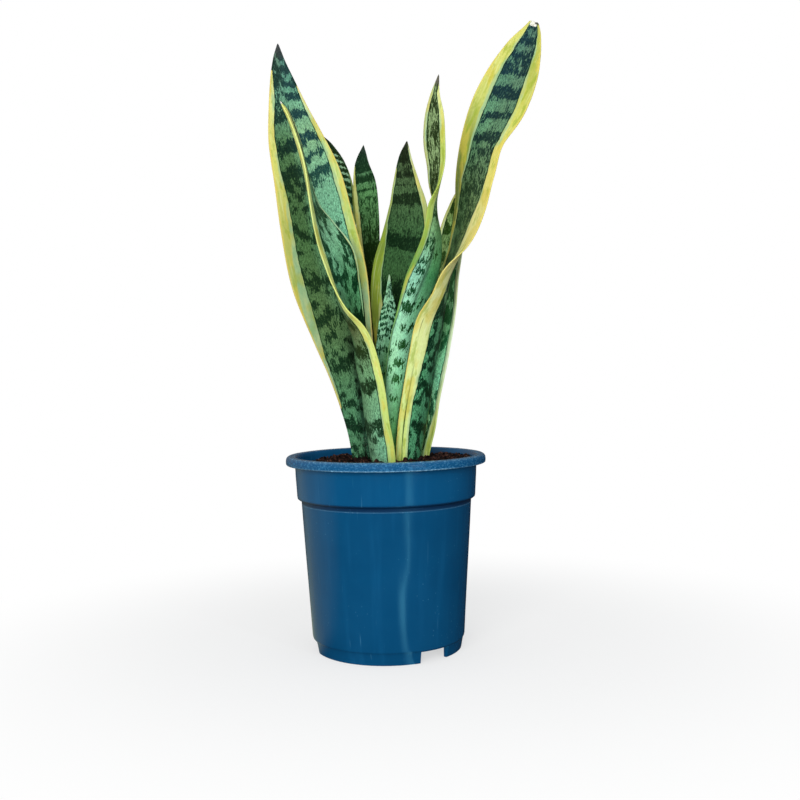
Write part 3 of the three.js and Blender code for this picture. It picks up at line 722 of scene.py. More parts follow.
# Dark marks on the pale lower part of one leaf:
# place across as a share of the half width, height, half width and half height in mm.
SPOTTED_LEAF = "leaf_twisted"
SPOT_CLEAR = 11.0  # tone away from the marks
SPOT_SLOPE = 2.2
PALE_TOP = (264, 256)  # heights between which the pale part with the marks begins
SPOTS = (
    (0.22, 255, 4.4, 4.6), (-0.3, 262, 3.0, 6.5), (-0.2, 228, 4.2, 3.2), (0.1, 240, 1.6, 2.0),
    (-0.15, 215, 4.0, 2.8), (-0.2, 203, 4.2, 3.0), (0, 188, 2.4, 1.8), (-0.55, 242, 1.4, 3.6),
    (0.75, 209, 1.6, 2.6), (0.8, 222, 1.4, 3.0), (-0.05, 172, 2.0, 1.6), (0.3, 156, 2.2, 3.4),
)

# Green line inside the right margin of the cut leaf: (height, mm from the edge, half width).
GREEN_LINE = (
    (115, 4.4, 0.5), (156, 4.2, 0.55), (184, 3.9, 0.6), (223, 4.3, 0.5), (244, 4.2, 0.3),
    (250, 4.2, -0.5),
)
NO_LINE = -2.0
GREEN_LINE_TURN = (150, 190)  # heights between which it goes from its foot's to its top's colour
GREEN_LINE_FOOT = (52, 84, 34)
GREEN_LINE_TOP = (54, 72, 30)

# Painted shadow: dark lines where another blade lies against a face:
# height, place across as a share of the half width, half width of the dark line as such a share.
CONTACTS = {
    ("leaf_tall_left", "inner"): ((115, 0.2, 0.2), (235, 0.2, 0.2)),
    ("leaf_twisted", "outer"): ((258, -0.1, 0.16), (305, -0.05, 0.14)),
}


# ---------- materials ----------

# Colours of the pot, the soil and the rhizome.
POT_DEEP, POT_CLOUD, POT_GLINT_STREAK = rgba(2, 60, 98), rgba(9, 75, 116), rgba(18, 86, 130)
LIP_LIT, LIP_SCUFF_GLINT, EDGE_GLINT = rgba(12, 78, 122), rgba(46, 116, 160), rgba(150, 200, 226)
COLLAR_SHADE, POT_MARK = rgba(0, 40, 74), rgba(84, 150, 184)
INSIDE_SHADE, INSIDE_SOILED = rgba(14, 44, 70), rgba(56, 52, 52)
SOIL_DARK, SOIL_BROWN = rgba(7, 6, 8), rgba(78, 49, 42)
SOIL_DAMP, SOIL_BIT = rgba(22, 15, 16), rgba(158, 112, 90)
RHIZOME_BROWN, RHIZOME_PALE = rgba(186, 138, 84), rgba(226, 190, 132)
RHIZOME_RING = rgba(130, 86, 52)


def leaf_face(s, blade, light, dark, ragged):
    """Green face: ragged cross bands with mottling inside them."""
    flame = s.noise(blade, (0.75, 0.17, 1), 3, 0.65)
    fleck = s.noise(blade, (1.5, 0.45, 1), 1)
    push = s.add(s.centred(flame, FLAME_PUSH * ragged), s.centred(fleck, FLECK_PUSH * ragged))
    band = s.step(s.add(s.attribute("tone"), push), -0.8, 0.8)

    mottle = s.noise(blade, (1, 0.36, 1), 3, 0.75)
    grainy = s.attribute("grain")
    in_light = s.product(grainy, 0.62, s.step(mottle, 0.48, 0.62))
    in_dark = s.product(grainy, 0.4, s.step(mottle, 0.52, 0.68))
    face = s.mix(band, s.mix(in_dark, dark, light), s.mix(in_light, light, dark))
    grain = s.step(s.noise(blade, (1.5, 0.6, 1), 3, 0.7), 0.3, 0.7)
    face = s.mix(grainy, face, s.times(face, s.remap(grain, 0.62, 1.46)))
    fibre = s.noise(blade, (2.2, 0.05, 1))
    face = s.times(face, s.remap(fibre, 0.8, 1.2))
    return s.times(face, s.remap(s.noise(blade, (0.3, 0.05, 1)), 0.75, 1.25))


def leaf_margin(s, blade, yellow, rim_colour, depth):
    """Margin: yellow with cream, lime and golden patches, mint next to the green."""
    streak = s.noise(blade, (0.6, 0.03, 1), 3)
    patch = s.noise(blade, (0.24, 0.07, 1), 3, 0.6)
    cloud = s.noise(blade, (0.14, 0.05, 3))
    colour = s.tint(yellow, CREAM, s.step(streak, 0.5, 0.75), 0.36)
    colour = s.tint(colour, OLIVE, s.step(patch, 0.5, 0.64), 0.62)
    colour = s.tint(colour, GOLD, s.step(cloud, 0.48, 0.62), 0.5)
    mint_from = s.add(s.attribute("mint"), s.centred(cloud, 4.0), s.centred(streak, 1.6))
    in_mint = s.step(s.math("SUBTRACT", mint_from, depth), -0.9, 0.9)
    spread = s.step(s.noise(blade, (0.05, 0.045, 2)), 0.38, 0.56)
    in_mint = s.product(in_mint, s.remap(spread, 0.15, 0.85))
    pale = s.mix(0.5, yellow, CREAM)
    mint_body = s.tint(MINT, pale, s.step(patch, 0.34, 0.6), 0.15, 0.55)
    colour = s.mix(in_mint, colour, mint_body)
    colour = s.times(colour, s.remap(s.noise(blade, (1.2, 0.5, 1)), 0.86, 1.14))
    colour = s.tint(colour, rim_colour, s.step(s.attribute("rim"), 0.7, 0.1), 0.6)

    in_line = s.step(s.add(s.attribute("line"), s.centred(streak, 0.4)), -0.15, 0.2)
    return s.tint(colour, s.attribute("line_colour", "Color"), in_line, 0.85)


def leaf_material(name):
    s = Shader(bpy.data.materials.new(name + "_skin"))
    blade = s.attribute("blade", "Vector")
    light, dark, yellow = (s.attribute(layer, "Color") for layer in ("light", "dark", "yellow"))
    face = leaf_face(s, blade, light, dark, RAGGED.get(name, 1))
    wander = s.centred(s.noise(blade, (0.02, 0.16, 1), 4, 0.6), 1.3)
    depth = s.add(s.attribute("margin"), wander)
    edge = leaf_margin(s, blade, yellow, RIM_COLOUR.get(name, yellow), depth)
    boundary = s.step(s.math("ABSOLUTE", s.add(depth, 0.4)), 0.65, 0.15)
    face = s.tint(face, DARK_LINE, boundary, 0.75)
    colour = s.mix(s.step(depth, -0.12, 0.12), face, edge)
    # painted shadow where another blade lies against this face
    colour = s.times(colour, s.remap(s.attribute("shadow"), 1, 0.3))

    # dust near the soil, the dried tip and the scorched line below it
    dust = s.product(s.dots(blade, 0.9, 0.2), s.attribute("low"))
    colour = s.tint(colour, DUST, dust, 0.55)
    fine = s.noise(blade, (0.7, 0.6, 1), 3, 0.7)
    dry = s.step(s.add(s.attribute("dry"), s.centred(fine, 0.8)), 0, 1)
    husk, fleck = (rgba(*tip) for tip in TIPS[name][2:])
    colour = s.mix(dry, colour, s.mix(s.step(fine, 0.5, 0.62), husk, fleck))
    colour = s.tint(colour, SCORCH, s.attribute("scorch"), 0.9)

    ridges = s.noise(blade, (1.7, 0.02, 1), 3)
    dimples = s.noise(blade, (0.7, 0.35, 1), 3)
    roughness = s.remap(s.noise(blade, (0.4, 0.12, 1)), 0.4, 0.6)
    return s.finish(
        Base_Color=colour,
        Roughness=s.add(roughness, s.remap(dry, 0, 0.3)),
        Normal=s.bumps((ridges, 0.35, 0.0004), (dimples, 0.25, 0.0005)),
        Specular_IOR_Level=0.1,
    )


def pot_material():
    s = Shader(bpy.data.materials.new("pot_plastic"))
    place = s.place()
    lip, inside, groove = (s.attribute(layer) for layer in ("lip", "inside", "groove"))
    clouds = s.noise(place, 26, 3)
    # pale vertical streaks: painted highlights on the plastic
    glint_streaks = s.step(s.noise(place, (130, 130, 7), 3), 0.5, 0.8)
    scuffs = s.step(s.noise(place, (500, 500, 800), 3, 0.7), 0.5, 0.64)
    on_collar = s.step(s.axes(place)[2], 0.112, 0.118)
    colour = s.mix(clouds, POT_DEEP, POT_CLOUD)
    # painted light: the collar is lighter than the body below it
    colour = s.times(colour, s.remap(on_collar, 1, 1.2))
    colour = s.tint(colour, POT_GLINT_STREAK, glint_streaks, 0.35)
    # lip lighter where it faces up: painted light, mottled by scuffs with lighter painted glints
    colour = s.tint(colour, s.mix(scuffs, LIP_LIT, LIP_SCUFF_GLINT), lip, 0.85)
    # painted highlights along the rim top, the lip's lower edge and the collar step, broken up by
    # the scuffs
    edge_glint = s.product(s.attribute("edge"), s.remap(scuffs, 0.4, 1))
    colour = s.tint(colour, EDGE_GLINT, edge_glint, 0.9)
    # painted shade in the groove under the collar
    colour = s.mix(groove, colour, COLLAR_SHADE)
    specks = s.product(s.dots(place, 330, 0.12), s.step(clouds, 0.52, 0.64))
    scratch = s.step(s.noise(place, (520, 520, 16), 1), 0.7, 0.82)
    marks = s.math("MAXIMUM", specks, s.product(scratch, 0.45))
    colour = s.tint(colour, POT_MARK, marks, 0.5)
    dirt = s.step(s.noise(place, 150, 4, 0.6), 0.45, 0.75)
    # inside of the wall: a darker blue as painted shade, with soil stains over it
    colour = s.mix(inside, colour, s.tint(INSIDE_SHADE, INSIDE_SOILED, dirt, 1, 0.4))
    return s.finish(
        Base_Color=colour,
        Roughness=s.add(
            s.remap(s.noise(place, 60, 4), 0.1, 0.22),
            s.product(lip, s.remap(scuffs, 0.08, 0.3)),
            s.product(inside, 0.3),
            s.product(groove, 0.25),
        ),
        Normal=s.bumps(
            (s.noise(place, (55, 55, 10)), 0.25, 0.0012),
            (s.noise(place, 900, 3), 0.1, 0.0002),
            (s.product(scuffs, lip), 0.35, 0.0004),
        ),
        Specular_IOR_Level=0.42,
    )


def soil_material():
    s = Shader(bpy.data.materials.new("potting_mix"))
    place = s.place()
    grain = s.noise(place, 420, 4, 0.65)
    lumps = s.step(s.noise(place, 120, 3), 0.42, 0.62)
    colour = s.mix(s.step(grain, 0.42, 0.66), SOIL_DARK, SOIL_BROWN)
    colour = s.tint(colour, SOIL_DAMP, lumps, 0.75)
    colour = s.tint(colour, SOIL_BIT, s.dots(place, 360, 0.22), 0.75)
    return s.finish(
        Base_Color=colour,
        Roughness=s.remap(grain, 0.8, 1),
        Normal=s.bumps((grain, 0.8, 0.0009), (s.noise(place, 1300, 3), 0.5, 0.0003)),
        Specular_IOR_Level=0.2,
    )


def rhizome_material():
    s = Shader(bpy.data.materials.new("rhizome"))
    place = s.place()
    fibres = s.noise(place, (300, 300, 40), 4)
    rings = s.noise(place, (90, 30, 30), 3)
    colour = s.mix(fibres, RHIZOME_BROWN, RHIZOME_PALE)
    return s.finish(
        Base_Color=s.tint(colour, RHIZOME_RING, s.step(rings, 0.5, 0.7), 0.6),
        Roughness=s.remap(fibres, 0.65, 0.9),
        Normal=s.bumps((fibres, 0.6, 0.0008), (rings, 0.4, 0.001)),
    )


# ---------- leaves ----------


def smooth_value(rows, column, heights):
    """One column of a blade's rows at the heights, interpolated as for the CAD blades."""
    z, v = rows[:, 0], rows[:, column]
    station = np.arange(len(z))
    low, high = np.maximum(station - 1, 0), np.minimum(station + 1, len(z) - 1)
    slope = (v[high] - v[low]) / (z[high] - z[low])
    height = np.clip(heights, z[0], z[-1])
    i = np.clip(np.searchsorted(z, height, side="right") - 1, 0, len(z) - 2)
    span = z[i + 1] - z[i]
    s = (height - z[i]) / span
    return (
        (2 * s**3 - 3 * s**2 + 1) * v[i]
        + (s**3 - 2 * s**2 + s) * span * slope[i]
        + (3 * s**2 - 2 * s**3) * v[i + 1]
        + (s**3 - s**2) * span * slope[i + 1]
    )


def blade_axes(rows, heights):
    """Midline, direction across and direction of the inner face at each height."""

    def midline(z):
        z = np.clip(z, rows[0, 0], rows[-1, 0])
        return np.stack((smooth_value(rows, 1, z), smooth_value(rows, 2, z), z), axis=-1)

    along = unit(midline(heights + 1) - midline(heights - 1))
    turn = np.radians(smooth_value(rows, 4, heights))
    facing = np.stack((np.sin(turn), -np.cos(turn), np.zeros_like(turn)), axis=-1)
    across = unit(np.cross(along, facing))
    return midline(heights), across, np.cross(across, along)


def ring_pattern():
    """Samples round a blade's section: lateral place, side of the blade and edge angle."""
    lateral = np.linspace(-1, 1, SAMPLES_ACROSS + 1)
    inner = [(u, 1, 0) for u in lateral]
    right = [(1, 0, angle) for angle in EDGE_ARC]
    outer = [(u, -1, 0) for u in lateral[::-1]]
    left = [(-1, 0, angle) for angle in reversed(EDGE_ARC)]
    return np.array(inner + right + outer + left, dtype=float)


def band_tone(bands, heights):
    """Signed distance from the nearest edge of a band in mm, above zero where it is light."""
    edges = np.array([band[0] for band in bands] + [ABOVE_ALL])
    level = np.array([band[1] for band in bands])
    i = np.clip(np.searchsorted(edges, heights, side="right") - 1, 0, len(level) - 1)
    inside = np.minimum(heights - edges[i], edges[i + 1] - heights)
    return level[i] * (TONE_AT_EDGE + np.clip(inside, 0, TONE_DEPTH))


def contact_shadow(name, heights, lateral, is_inner):
    """Painted shadow: 1 on the line where another blade lies against this face, 0 away from it."""
    shadow = np.zeros(len(heights))
    for side, chosen in (("inner", is_inner), ("outer", ~is_inner)):
        stops = CONTACTS.get((name, side))
        if stops is not None:
            place, wide = (profile_value(stops, heights, column) for column in (1, 2))
            inside = (heights >= stops[0][0]) & (heights <= stops[-1][0]) & chosen
            shadow = np.where(inside, np.maximum(shadow, ridge(lateral, place, wide)), shadow)
    return shadow


def invented_bands(rng):
    """Bands for a face that the photo doesn't show."""
    bands, height, level = [], BAND_FOOT, 1
    while height < BAND_TOP:
        bands.append((height, level * rng.uniform(*INVENTED_LEVEL)))
        height += rng.uniform(*INVENTED_SPAN)
        level = -level
    return bands


def patches(across, heights, seed):
    """Smooth noise between -1 and 1 for every vertex."""
    wide, tall = PATCH_SIZE
    places = [Vector((u / wide, z / tall, seed)) for u, z in zip(across, heights)]
    return np.array([noise.noise(place) for place in places])


def spot_tone(lateral, half, heights):
    """Signed depth in the nearest dark mark of the pale lower face, in mm."""
    tone = np.full(len(heights), SPOT_CLEAR)
    for place, height, wide, tall in SPOTS:
        away = np.hypot((lateral - place) * half / wide, (heights - height) / tall)
        tone = np.minimum(tone, (away - 1) * min(wide, tall) * SPOT_SLOPE)
    return tone


def face_tone(name, heights, lateral, half, is_inner, seed, rng):
    """Tone of every vertex: the bands of its face, bent into chevrons and broken by patches."""
    wave = BAND_SWING * np.sin(heights / BAND_WAVE + BAND_SKEW * lateral)
    bent = heights + wave - BAND_BOW * lateral**2
    if name in CHEVRON:
        bent = heights + CHEVRON[name] * np.abs(lateral)
    if name in TILT:
        wave = TILTED_SWING * np.sin(heights / BAND_WAVE)
        bent = heights + wave + TILT[name] * lateral * half
    broken = patches(lateral * half, heights, seed)
    share = smoothstep(*HALF_BLEND, lateral)
    tones = {}
    for side in ("inner", "outer"):
        whole = BANDS.get((name, side), invented_bands(rng))
        left, right = (
            band_tone(BANDS.get((name, side + part), whole), bent) for part in (" left", " right")
        )
        breaking = 2 * BROKEN.get((name, side), BROKEN_DEFAULT)
        tones[side] = (1 - share) * left + share * right + broken * breaking
    if name == SPOTTED_LEAF:
        pale = smoothstep(*PALE_TOP, heights)
        tones["outer"] = (1 - pale) * tones["outer"] + pale * spot_tone(lateral, half, heights)
    return np.where(is_inner, tones["inner"], tones["outer"])


def stop_colours(stops, heights, lateral, depth=1.0):
    """Colour of every vertex from stops of a height and the colours of both halves."""
    z = [stop[0] for stop in stops]
    share = smoothstep(*COLOUR_BLEND, lateral)[:, None]
    sides = []
    for side in (1, -1):
        channels = linear([stop[side] for stop in stops]).T
        sides.append(np.stack([np.interp(heights, z, channel) for channel in channels], axis=-1))
    return with_alpha((1 - share) * sides[0] + share * sides[1]) * depth


def leaf_points(name, rows, heights, pattern, rng):
    """Vertices of all rings, ring by ring, in mm."""
    centre, across, inward = blade_axes(rows, heights)
    phase = rng.uniform(0, 6)
    half = np.maximum(smooth_value(rows, 3, heights) / 2 - EDGE_ROOM, LEAST_HALF)
    slim = np.clip(half / 3, 0.25, 1)  # blades get thinner towards their points
    lateral, side, arc = pattern.T
    points = np.zeros((len(heights), len(pattern), 3))
    for k, u in enumerate(lateral):
        curl = np.radians(smooth_value(rows, 5 if u < 0 else 6, heights))
        curl = np.where(np.abs(curl) < FLAT_CURL, FLAT_CURL, curl)
        bend, angle = half / curl, u * curl
        rise = WRINKLE * abs(u) ** 3 * np.sin(heights / WRINKLE_WAVE + phase + 2 * u)
        rise = rise * np.clip(half / 8, 0, 1)
        cosine, sine = np.cos(angle)[:, None], np.sin(angle)[:, None]
        normal = inward * cosine - across * sine
        outward = np.sign(u) * (across * cosine + inward * sine)
        point = centre + across * (bend * np.sin(angle))[:, None]
        point = point + inward * (bend * (1 - np.cos(angle)))[:, None] + normal * rise[:, None]
        if side[k] == 0:
            reach, lift = on_circle(EDGE_THICKNESS / 2, math.radians(arc[k]))
            point = point + (normal * lift + outward * reach) * slim[:, None]
        else:
            bulge = (LEAF_THICKNESS[name] - EDGE_THICKNESS) * (1 - abs(u) ** 2.2)
            point = point + normal * (side[k] * (EDGE_THICKNESS + bulge) / 2 * slim)[:, None]
        points[:, k] = point
    return points


def tip_dryness(name, heights, across):
    """Above zero where the tip is dry. The cut blade is dry only between its margins."""
    start, blend = TIPS[name][:2]
    dry = (heights - start) / blend
    if name != CUT_LEAF:
        return dry
    return np.minimum(dry, (CUT_TIP_HALF - np.abs(across)) / CUT_TIP_BLEND)


def make_leaf(name, number):
    rng = random.Random(LEAF_SEED + number)
    rows = np.array([row[:6] + row[-1:] for row in LEAF_ROWS[name]], dtype=float)
    is_cut = name == CUT_LEAF
    top = rows[-1, 0]
    heights = np.linspace(BLADE_FOOT, top, int((top - BLADE_FOOT) / ROW_STEP) + 1)
    if is_cut:
        heights = np.sort(np.append(heights, CUT_TIP_RINGS))
    pattern = ring_pattern()
    points = leaf_points(name, rows, heights, pattern, rng)
    foot, tip = points[0].mean(axis=0), points[-1].mean(axis=0)
    if is_cut:
        points[-1, :, 2] += [rng.uniform(*RAGGED_TIP) for _ in pattern]
    else:
        tip = tip + unit(tip - points[-3].mean(axis=0)) * AWN_LENGTH
    rings, width = points.shape[:2]
    vertices = to_frame(np.concatenate((points.reshape(-1, 3), [foot, tip])))
    piece = new_object(name + "_fine", vertices, tube_faces(rings, width), leaf_material(name))

    z = np.append(np.repeat(heights, width), (heights[0], heights[-1] + AWN_LENGTH))
    lateral, side = (np.append(np.tile(pattern[:, k], rings), (0, 0)) for k in (0, 1))
    is_inner = side >= 0
    half = smooth_value(rows, 3, z) / 2
    across = half * lateral
    from_left, from_right = half * (1 + lateral), half * (1 - lateral)
    left, right, mint = (profile_value(MARGINS[name][k], z) for k in ("left", "right", "mint"))
    line = np.full(len(z), NO_LINE)
    if is_cut:
        line_at, line_half = (profile_value(GREEN_LINE, z, column) for column in (1, 2))
        line = np.where(z < GREEN_LINE[-1][0], line_half - np.abs(from_right - line_at), line)
    up = smoothstep(*GREEN_LINE_TURN, z)[:, None]
    offset = number * LEAF_OFFSET + np.where(is_inner, 0, FACE_OFFSET)
    add_attributes(
        piece.data,
        blade=np.stack((across, z, offset), axis=-1),
        margin=np.maximum(left - from_left, right - from_right),
        mint=mint,
        rim=np.minimum(from_left, from_right),
        line=line,
        tone=face_tone(name, z, lateral, half, is_inner, number * PATCH_OFFSET, rng),
        shadow=contact_shadow(name, z, lateral, is_inner),
        scorch=smoothstep(*SCORCH_FROM, z) * smoothstep(*SCORCH_SIDE, across) * is_cut,
        line_colour=with_alpha((1 - up) * linear(GREEN_LINE_FOOT) + up * linear(GREEN_LINE_TOP)),
        dry=tip_dryness(name, z, across),
        low=smoothstep(*DUST_FADE, z),
        grain=profile_value(GRAINY.get(name, GRAINY_DEFAULT), z),
        light=stop_colours(LIGHT_GREEN[name], z, lateral),
        dark=stop_colours(DARK_GREEN[name], z, lateral, DARK_DEPTH),
        yellow=stop_colours(YELLOW[name], z, lateral),
    )
    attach(piece, "root")
    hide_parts(name)


# ---------- pot ----------

POT_SIDES = 192
NOTCH_AZIMUTHS = (37, 157, 277)  # degrees from the front towards +X
NOTCH_WIDTH = 26  # degrees
NOTCH_SECTION = ((45, -2), (62, -2), (62, 9.2), (45, 7.6))  # radius and height
NOTCH_STEPS = 8
DRAIN_HOLES = 6  # on a circle, with one more in the middle
DRAIN_RADIUS = 4.5
DRAIN_CIRCLE = 36
DRAIN_SPAN = (5, 14)  # heights of the cutter
DRAIN_SIDES = 40
SMOOTH_WALL = (50, 11)  # the wall isn't warped inside this radius and below this height
WARP_SIZE = (15, 15, 60)
WARP, FINE_WARP, FINER = 0.16, 0.08, 2.3
POT_SHARP = 40  # degrees

# Outside and inside of the wall from the middle of the underside to the middle of the floor.
POT_PROFILE = (
    (0, 8.4), (30, 8.4), (51.2, 8.4), (51.9, 7.8), (52, 7), (52, 0.5), (52.4, 0), (54.2, 0),
    (54.9, 0.3), (55.1, 1), (55.7, 4.4), (56.5, 8.7), (56.8, 9.2), (57.2, 9.5), (57.4, 10.2),
    (57.5, 11), (58.5, 27), (60, 50), (61.6, 74), (63, 95), (63.91, 109.7), (63.94, 110.3),
    (63.98, 110.9), (64, 111.5), (64.02, 112.2), (64.15, 112.9), (64.9, 113.5), (66.2, 113.9),
    (66.9, 114.5), (67.1, 115.5), (67.15, 116.3), (67.4, 121), (68, 131), (68.35, 141.4),
    (68.4, 142.4), (68.6, 143.2), (69.2, 143.9), (70, 144.1), (72.4, 144.1), (73.3, 143.6),
    (73.5, 142.6), (73.5, 140), (73.8, 139.6), (74.4, 139.6), (74.9, 140), (75.05, 140.8),
    (75.1, 142.4), (74.9, 144), (74.3, 145.1), (73.3, 145.8), (72.1, 146), (70.3, 146),
    (68.9, 145.9), (67.9, 145.4), (67.1, 144.3), (66.8, 142.6), (66.2, 130), (65.5, 117),
    (65.1, 115.9), (63.6, 114.9), (62.9, 114.1), (62.5, 112), (60, 80), (57.4, 40), (55.8, 14),
    (55.4, 12), (54.6, 10.9), (53.2, 10.4), (30, 10.4), (0, 10.4),
)
# Heights of the edges that get a painted highlight, and zones of the wall as heights or radii
# where they set in.
RIM_HEIGHT = 145.6
LIP_EDGE = 140
STEP_EDGE = 110.3
LIP_HEIGHT, LIP_RADIUS = (138.5, 139.5), (68.2, 69)
WALL_RADIUS = (63.2, 63.6)
GROOVE_LOW, GROOVE_HIGH = (110.4, 111.2), (115.4, 114.5)
INSIDE_LOW, INSIDE_HIGH = (11.5, 13), (RIM_HEIGHT, 144)
# Inner radius of the collar, as heights and radii.
COLLAR_INSIDE = ((112, 114, 115, 116, 143), (63.3, 63.6, 64.2, 65.2, 66.45))


def wavy_wall(vertices):
    """Slight warping of the moulded wall, which bends the reflections in it."""
    warped = []
    for x, y, z in vertices:
        radius, share = math.hypot(x, y), 1
        if radius >= SMOOTH_WALL[0] and z >= SMOOTH_WALL[1]:
            spot = Vector([place / size for place, size in zip((x, y, z), WARP_SIZE)])
            shift = WARP * noise.noise(spot) + FINE_WARP * noise.noise(spot * FINER)
            share = (radius + shift) / radius
        warped.append((x * share, y * share, z))
    return warped


def wedge(azimuth):
    """Closed cutter for one notch, a sector of a ring."""
    vertices = []
    for k in range(NOTCH_STEPS + 1):
        angle = math.radians(azimuth - 90 + NOTCH_WIDTH * (k / NOTCH_STEPS - 0.5))
        vertices += [(*on_circle(radius, angle), height) for radius, height in NOTCH_SECTION]
    ends = [(0, 1, 2, 3), tuple(4 * NOTCH_STEPS + k for k in (3, 2, 1, 0))]
    return vertices, ends + [face[::-1] for face in ring_faces(NOTCH_STEPS + 1, 4)]


def drain(number):
    """Closed cutter for one drain hole."""
    circle = DRAIN_CIRCLE if number < DRAIN_HOLES else 0
    middle = on_circle(circle, 2 * math.pi * number / DRAIN_HOLES)
    low, high = DRAIN_SPAN
    profile = ((0, low), (DRAIN_RADIUS, low), (DRAIN_RADIUS, high), (0, high))
    vertices, faces = lathe(profile, DRAIN_SIDES)
    return [(x + middle[0], y + middle[1], z) for x, y, z in vertices], faces


def cut(piece, cutters):
    """Takes the closed cutters out of the piece and drops them."""
    for vertices, faces in cutters:
        tool = new_object("cutter", to_frame(vertices), faces, piece.data.materials[0], False)
        face_outward(tool.data)
        modifier = piece.modifiers.new("cut", "BOOLEAN")
        modifier.object = tool
        modifier.solver = "EXACT"
        evaluated = piece.evaluated_get(bpy.context.evaluated_depsgraph_get())
        cut_mesh = bpy.data.meshes.new_from_object(evaluated)
        piece.modifiers.clear()
        old = piece.data
        piece.data = cut_mesh
        bpy.data.meshes.remove(old)
        bpy.data.objects.remove(tool)


def mark_pot(mesh):
    """Vertex values for the material: lip, edges with painted highlights, groove with painted
    shade and the inside of the wall.
    """
    places = np.zeros(len(mesh.vertices) * 3)
    mesh.vertices.foreach_get("co", places)
    x, y, z = (places.reshape(-1, 3) - (AXIS_X, AXIS_Y, 0)).T / MM
    radius = np.hypot(x, y)
    front = smoothstep(0.7, 0.9, -y / np.maximum(radius, 1))
    on_lip = smoothstep(*LIP_HEIGHT, z) * smoothstep(*LIP_RADIUS, radius)
    on_wall = smoothstep(*WALL_RADIUS, radius)
    # painted highlight lines on the lip's edges, stronger at the front
    low_edge = (0.3 + 0.7 * front) * ridge(z, LIP_EDGE, 0.7)
    glint_lines = np.maximum(0.7 * ridge(z, RIM_HEIGHT, 0.6), low_edge) * on_lip
    in_collar = smoothstep(0.2, -0.6, radius - np.interp(z, *COLLAR_INSIDE))
    in_collar = in_collar * smoothstep(*INSIDE_LOW, z) * smoothstep(*INSIDE_HIGH, z)
    in_body = smoothstep(0.5, 0, radius - 56.5 - (z - 12) * 0.065) * (z > 10)
    add_attributes(
        mesh,
        lip=on_lip,
        edge=glint_lines + 0.25 * ridge(z, STEP_EDGE, 0.5) * on_wall,
        groove=smoothstep(*GROOVE_LOW, z) * smoothstep(*GROOVE_HIGH, z) * on_wall,
        inside=np.where(z > COLLAR_INSIDE[0][0], in_collar, in_body),
    )


def make_pot():
    vertices, faces = lathe(POT_PROFILE, POT_SIDES)
    piece = new_object("pot_fine", to_frame(wavy_wall(vertices)), faces, pot_material())
    cutters = [wedge(azimuth) for azimuth in NOTCH_AZIMUTHS]
    cutters += [drain(number) for number in range(DRAIN_HOLES + 1)]
    cut(piece, cutters)
    piece.data.shade_smooth()
    piece.data.set_sharp_from_angle(angle=math.radians(POT_SHARP))
    mark_pot(piece.data)
    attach(piece, "root")
    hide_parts("pot")


# ---------- soil ----------

SOIL_SEED = 7
SOIL_SIDES = 150
SOIL_RINGS = 46
SOIL_RADIUS = 65.6
SOIL_LEVEL = 137.5
# Underside and side of the soil inside the pot, as radius and height.
SOIL_SIDE = ((0, 10.7), (53.6, 10.7), (55.5, 12.7), (62.2, 114.4), (65.2, 116), (65.4, 130))
SOIL_TILT = 0.035
# Mounds: x, y, reach, rise. The first is at the plant's foot.
SOIL_HUMPS = ((6, 9, 34, 3.5), (-37, 12, 24, 7.2), (48, 18, 26, 3.4), (-30, -30, 18, 1.5))
SOIL_CLODS = ((6, 0.3, 1.7), (2.6, 4, 0.9))  # size, offset of the noise, rise
SOIL_SHARP = 50  # degrees
CRUMBS = 900
BIG_CRUMBS, BIGGER = 0.12, 1.6  # their share and how much larger they are
FIBRES = 60
FIBRE_STEPS = 6
FIBRE_SIDES = 4


def soil_height(x, y):
    """Top of the soil: the CAD surface with finer lumps."""
    height = SOIL_LEVEL + SOIL_TILT * x
    for centre_x, centre_y, reach, rise in SOIL_HUMPS:
        height += rise * math.exp(-((math.hypot(x - centre_x, y - centre_y) / reach) ** 2))
    height += 0.7 * math.sin(x / 7 + 1) * math.cos(y / 9) + 0.4 * math.sin(x / 3.7 - y / 4.3)
    for size, offset, rise in SOIL_CLODS:
        height += rise * noise.noise(Vector((x / size, y / size, offset)))
    return height


def soil_spot(rng, low, high):
    """Random place on the soil. Low and high are shares of its area from the middle."""
    radius = SOIL_RADIUS * math.sqrt(rng.uniform(low, high))
    return on_circle(radius, rng.uniform(0, 2 * math.pi))


def crumb(rng, vertices, faces):
    """One lump of bark or peat, half sunk in the surface."""
    x, y = soil_spot(rng, 0.02, 0.97)
    size = rng.uniform(0.4, 1.5) * (BIGGER if rng.random() < BIG_CRUMBS else 1)
    middle = Vector((x, y, soil_height(x, y) + size * rng.uniform(-0.1, 0.5)))
    stretch = [size * rng.uniform(0.6, 1.4) for _ in range(3)]
    turn = Matrix.Rotation(rng.uniform(0, 6.3), 3, "Z")
    turn = turn @ Matrix.Rotation(rng.uniform(-0.6, 0.6), 3, "X")
    bm = bmesh.new()
    bmesh.ops.create_icosphere(bm, subdivisions=1, radius=1)
    first = len(vertices)
    for vertex in bm.verts:
        bump = rng.uniform(0.5, 1.25)
        local = Vector([vertex.co[k] * stretch[k] * bump for k in range(3)])
        vertices.append(tuple(middle + turn @ local))
    faces += [tuple(first + v.index for v in face.verts) for face in bm.faces]
    bm.free()


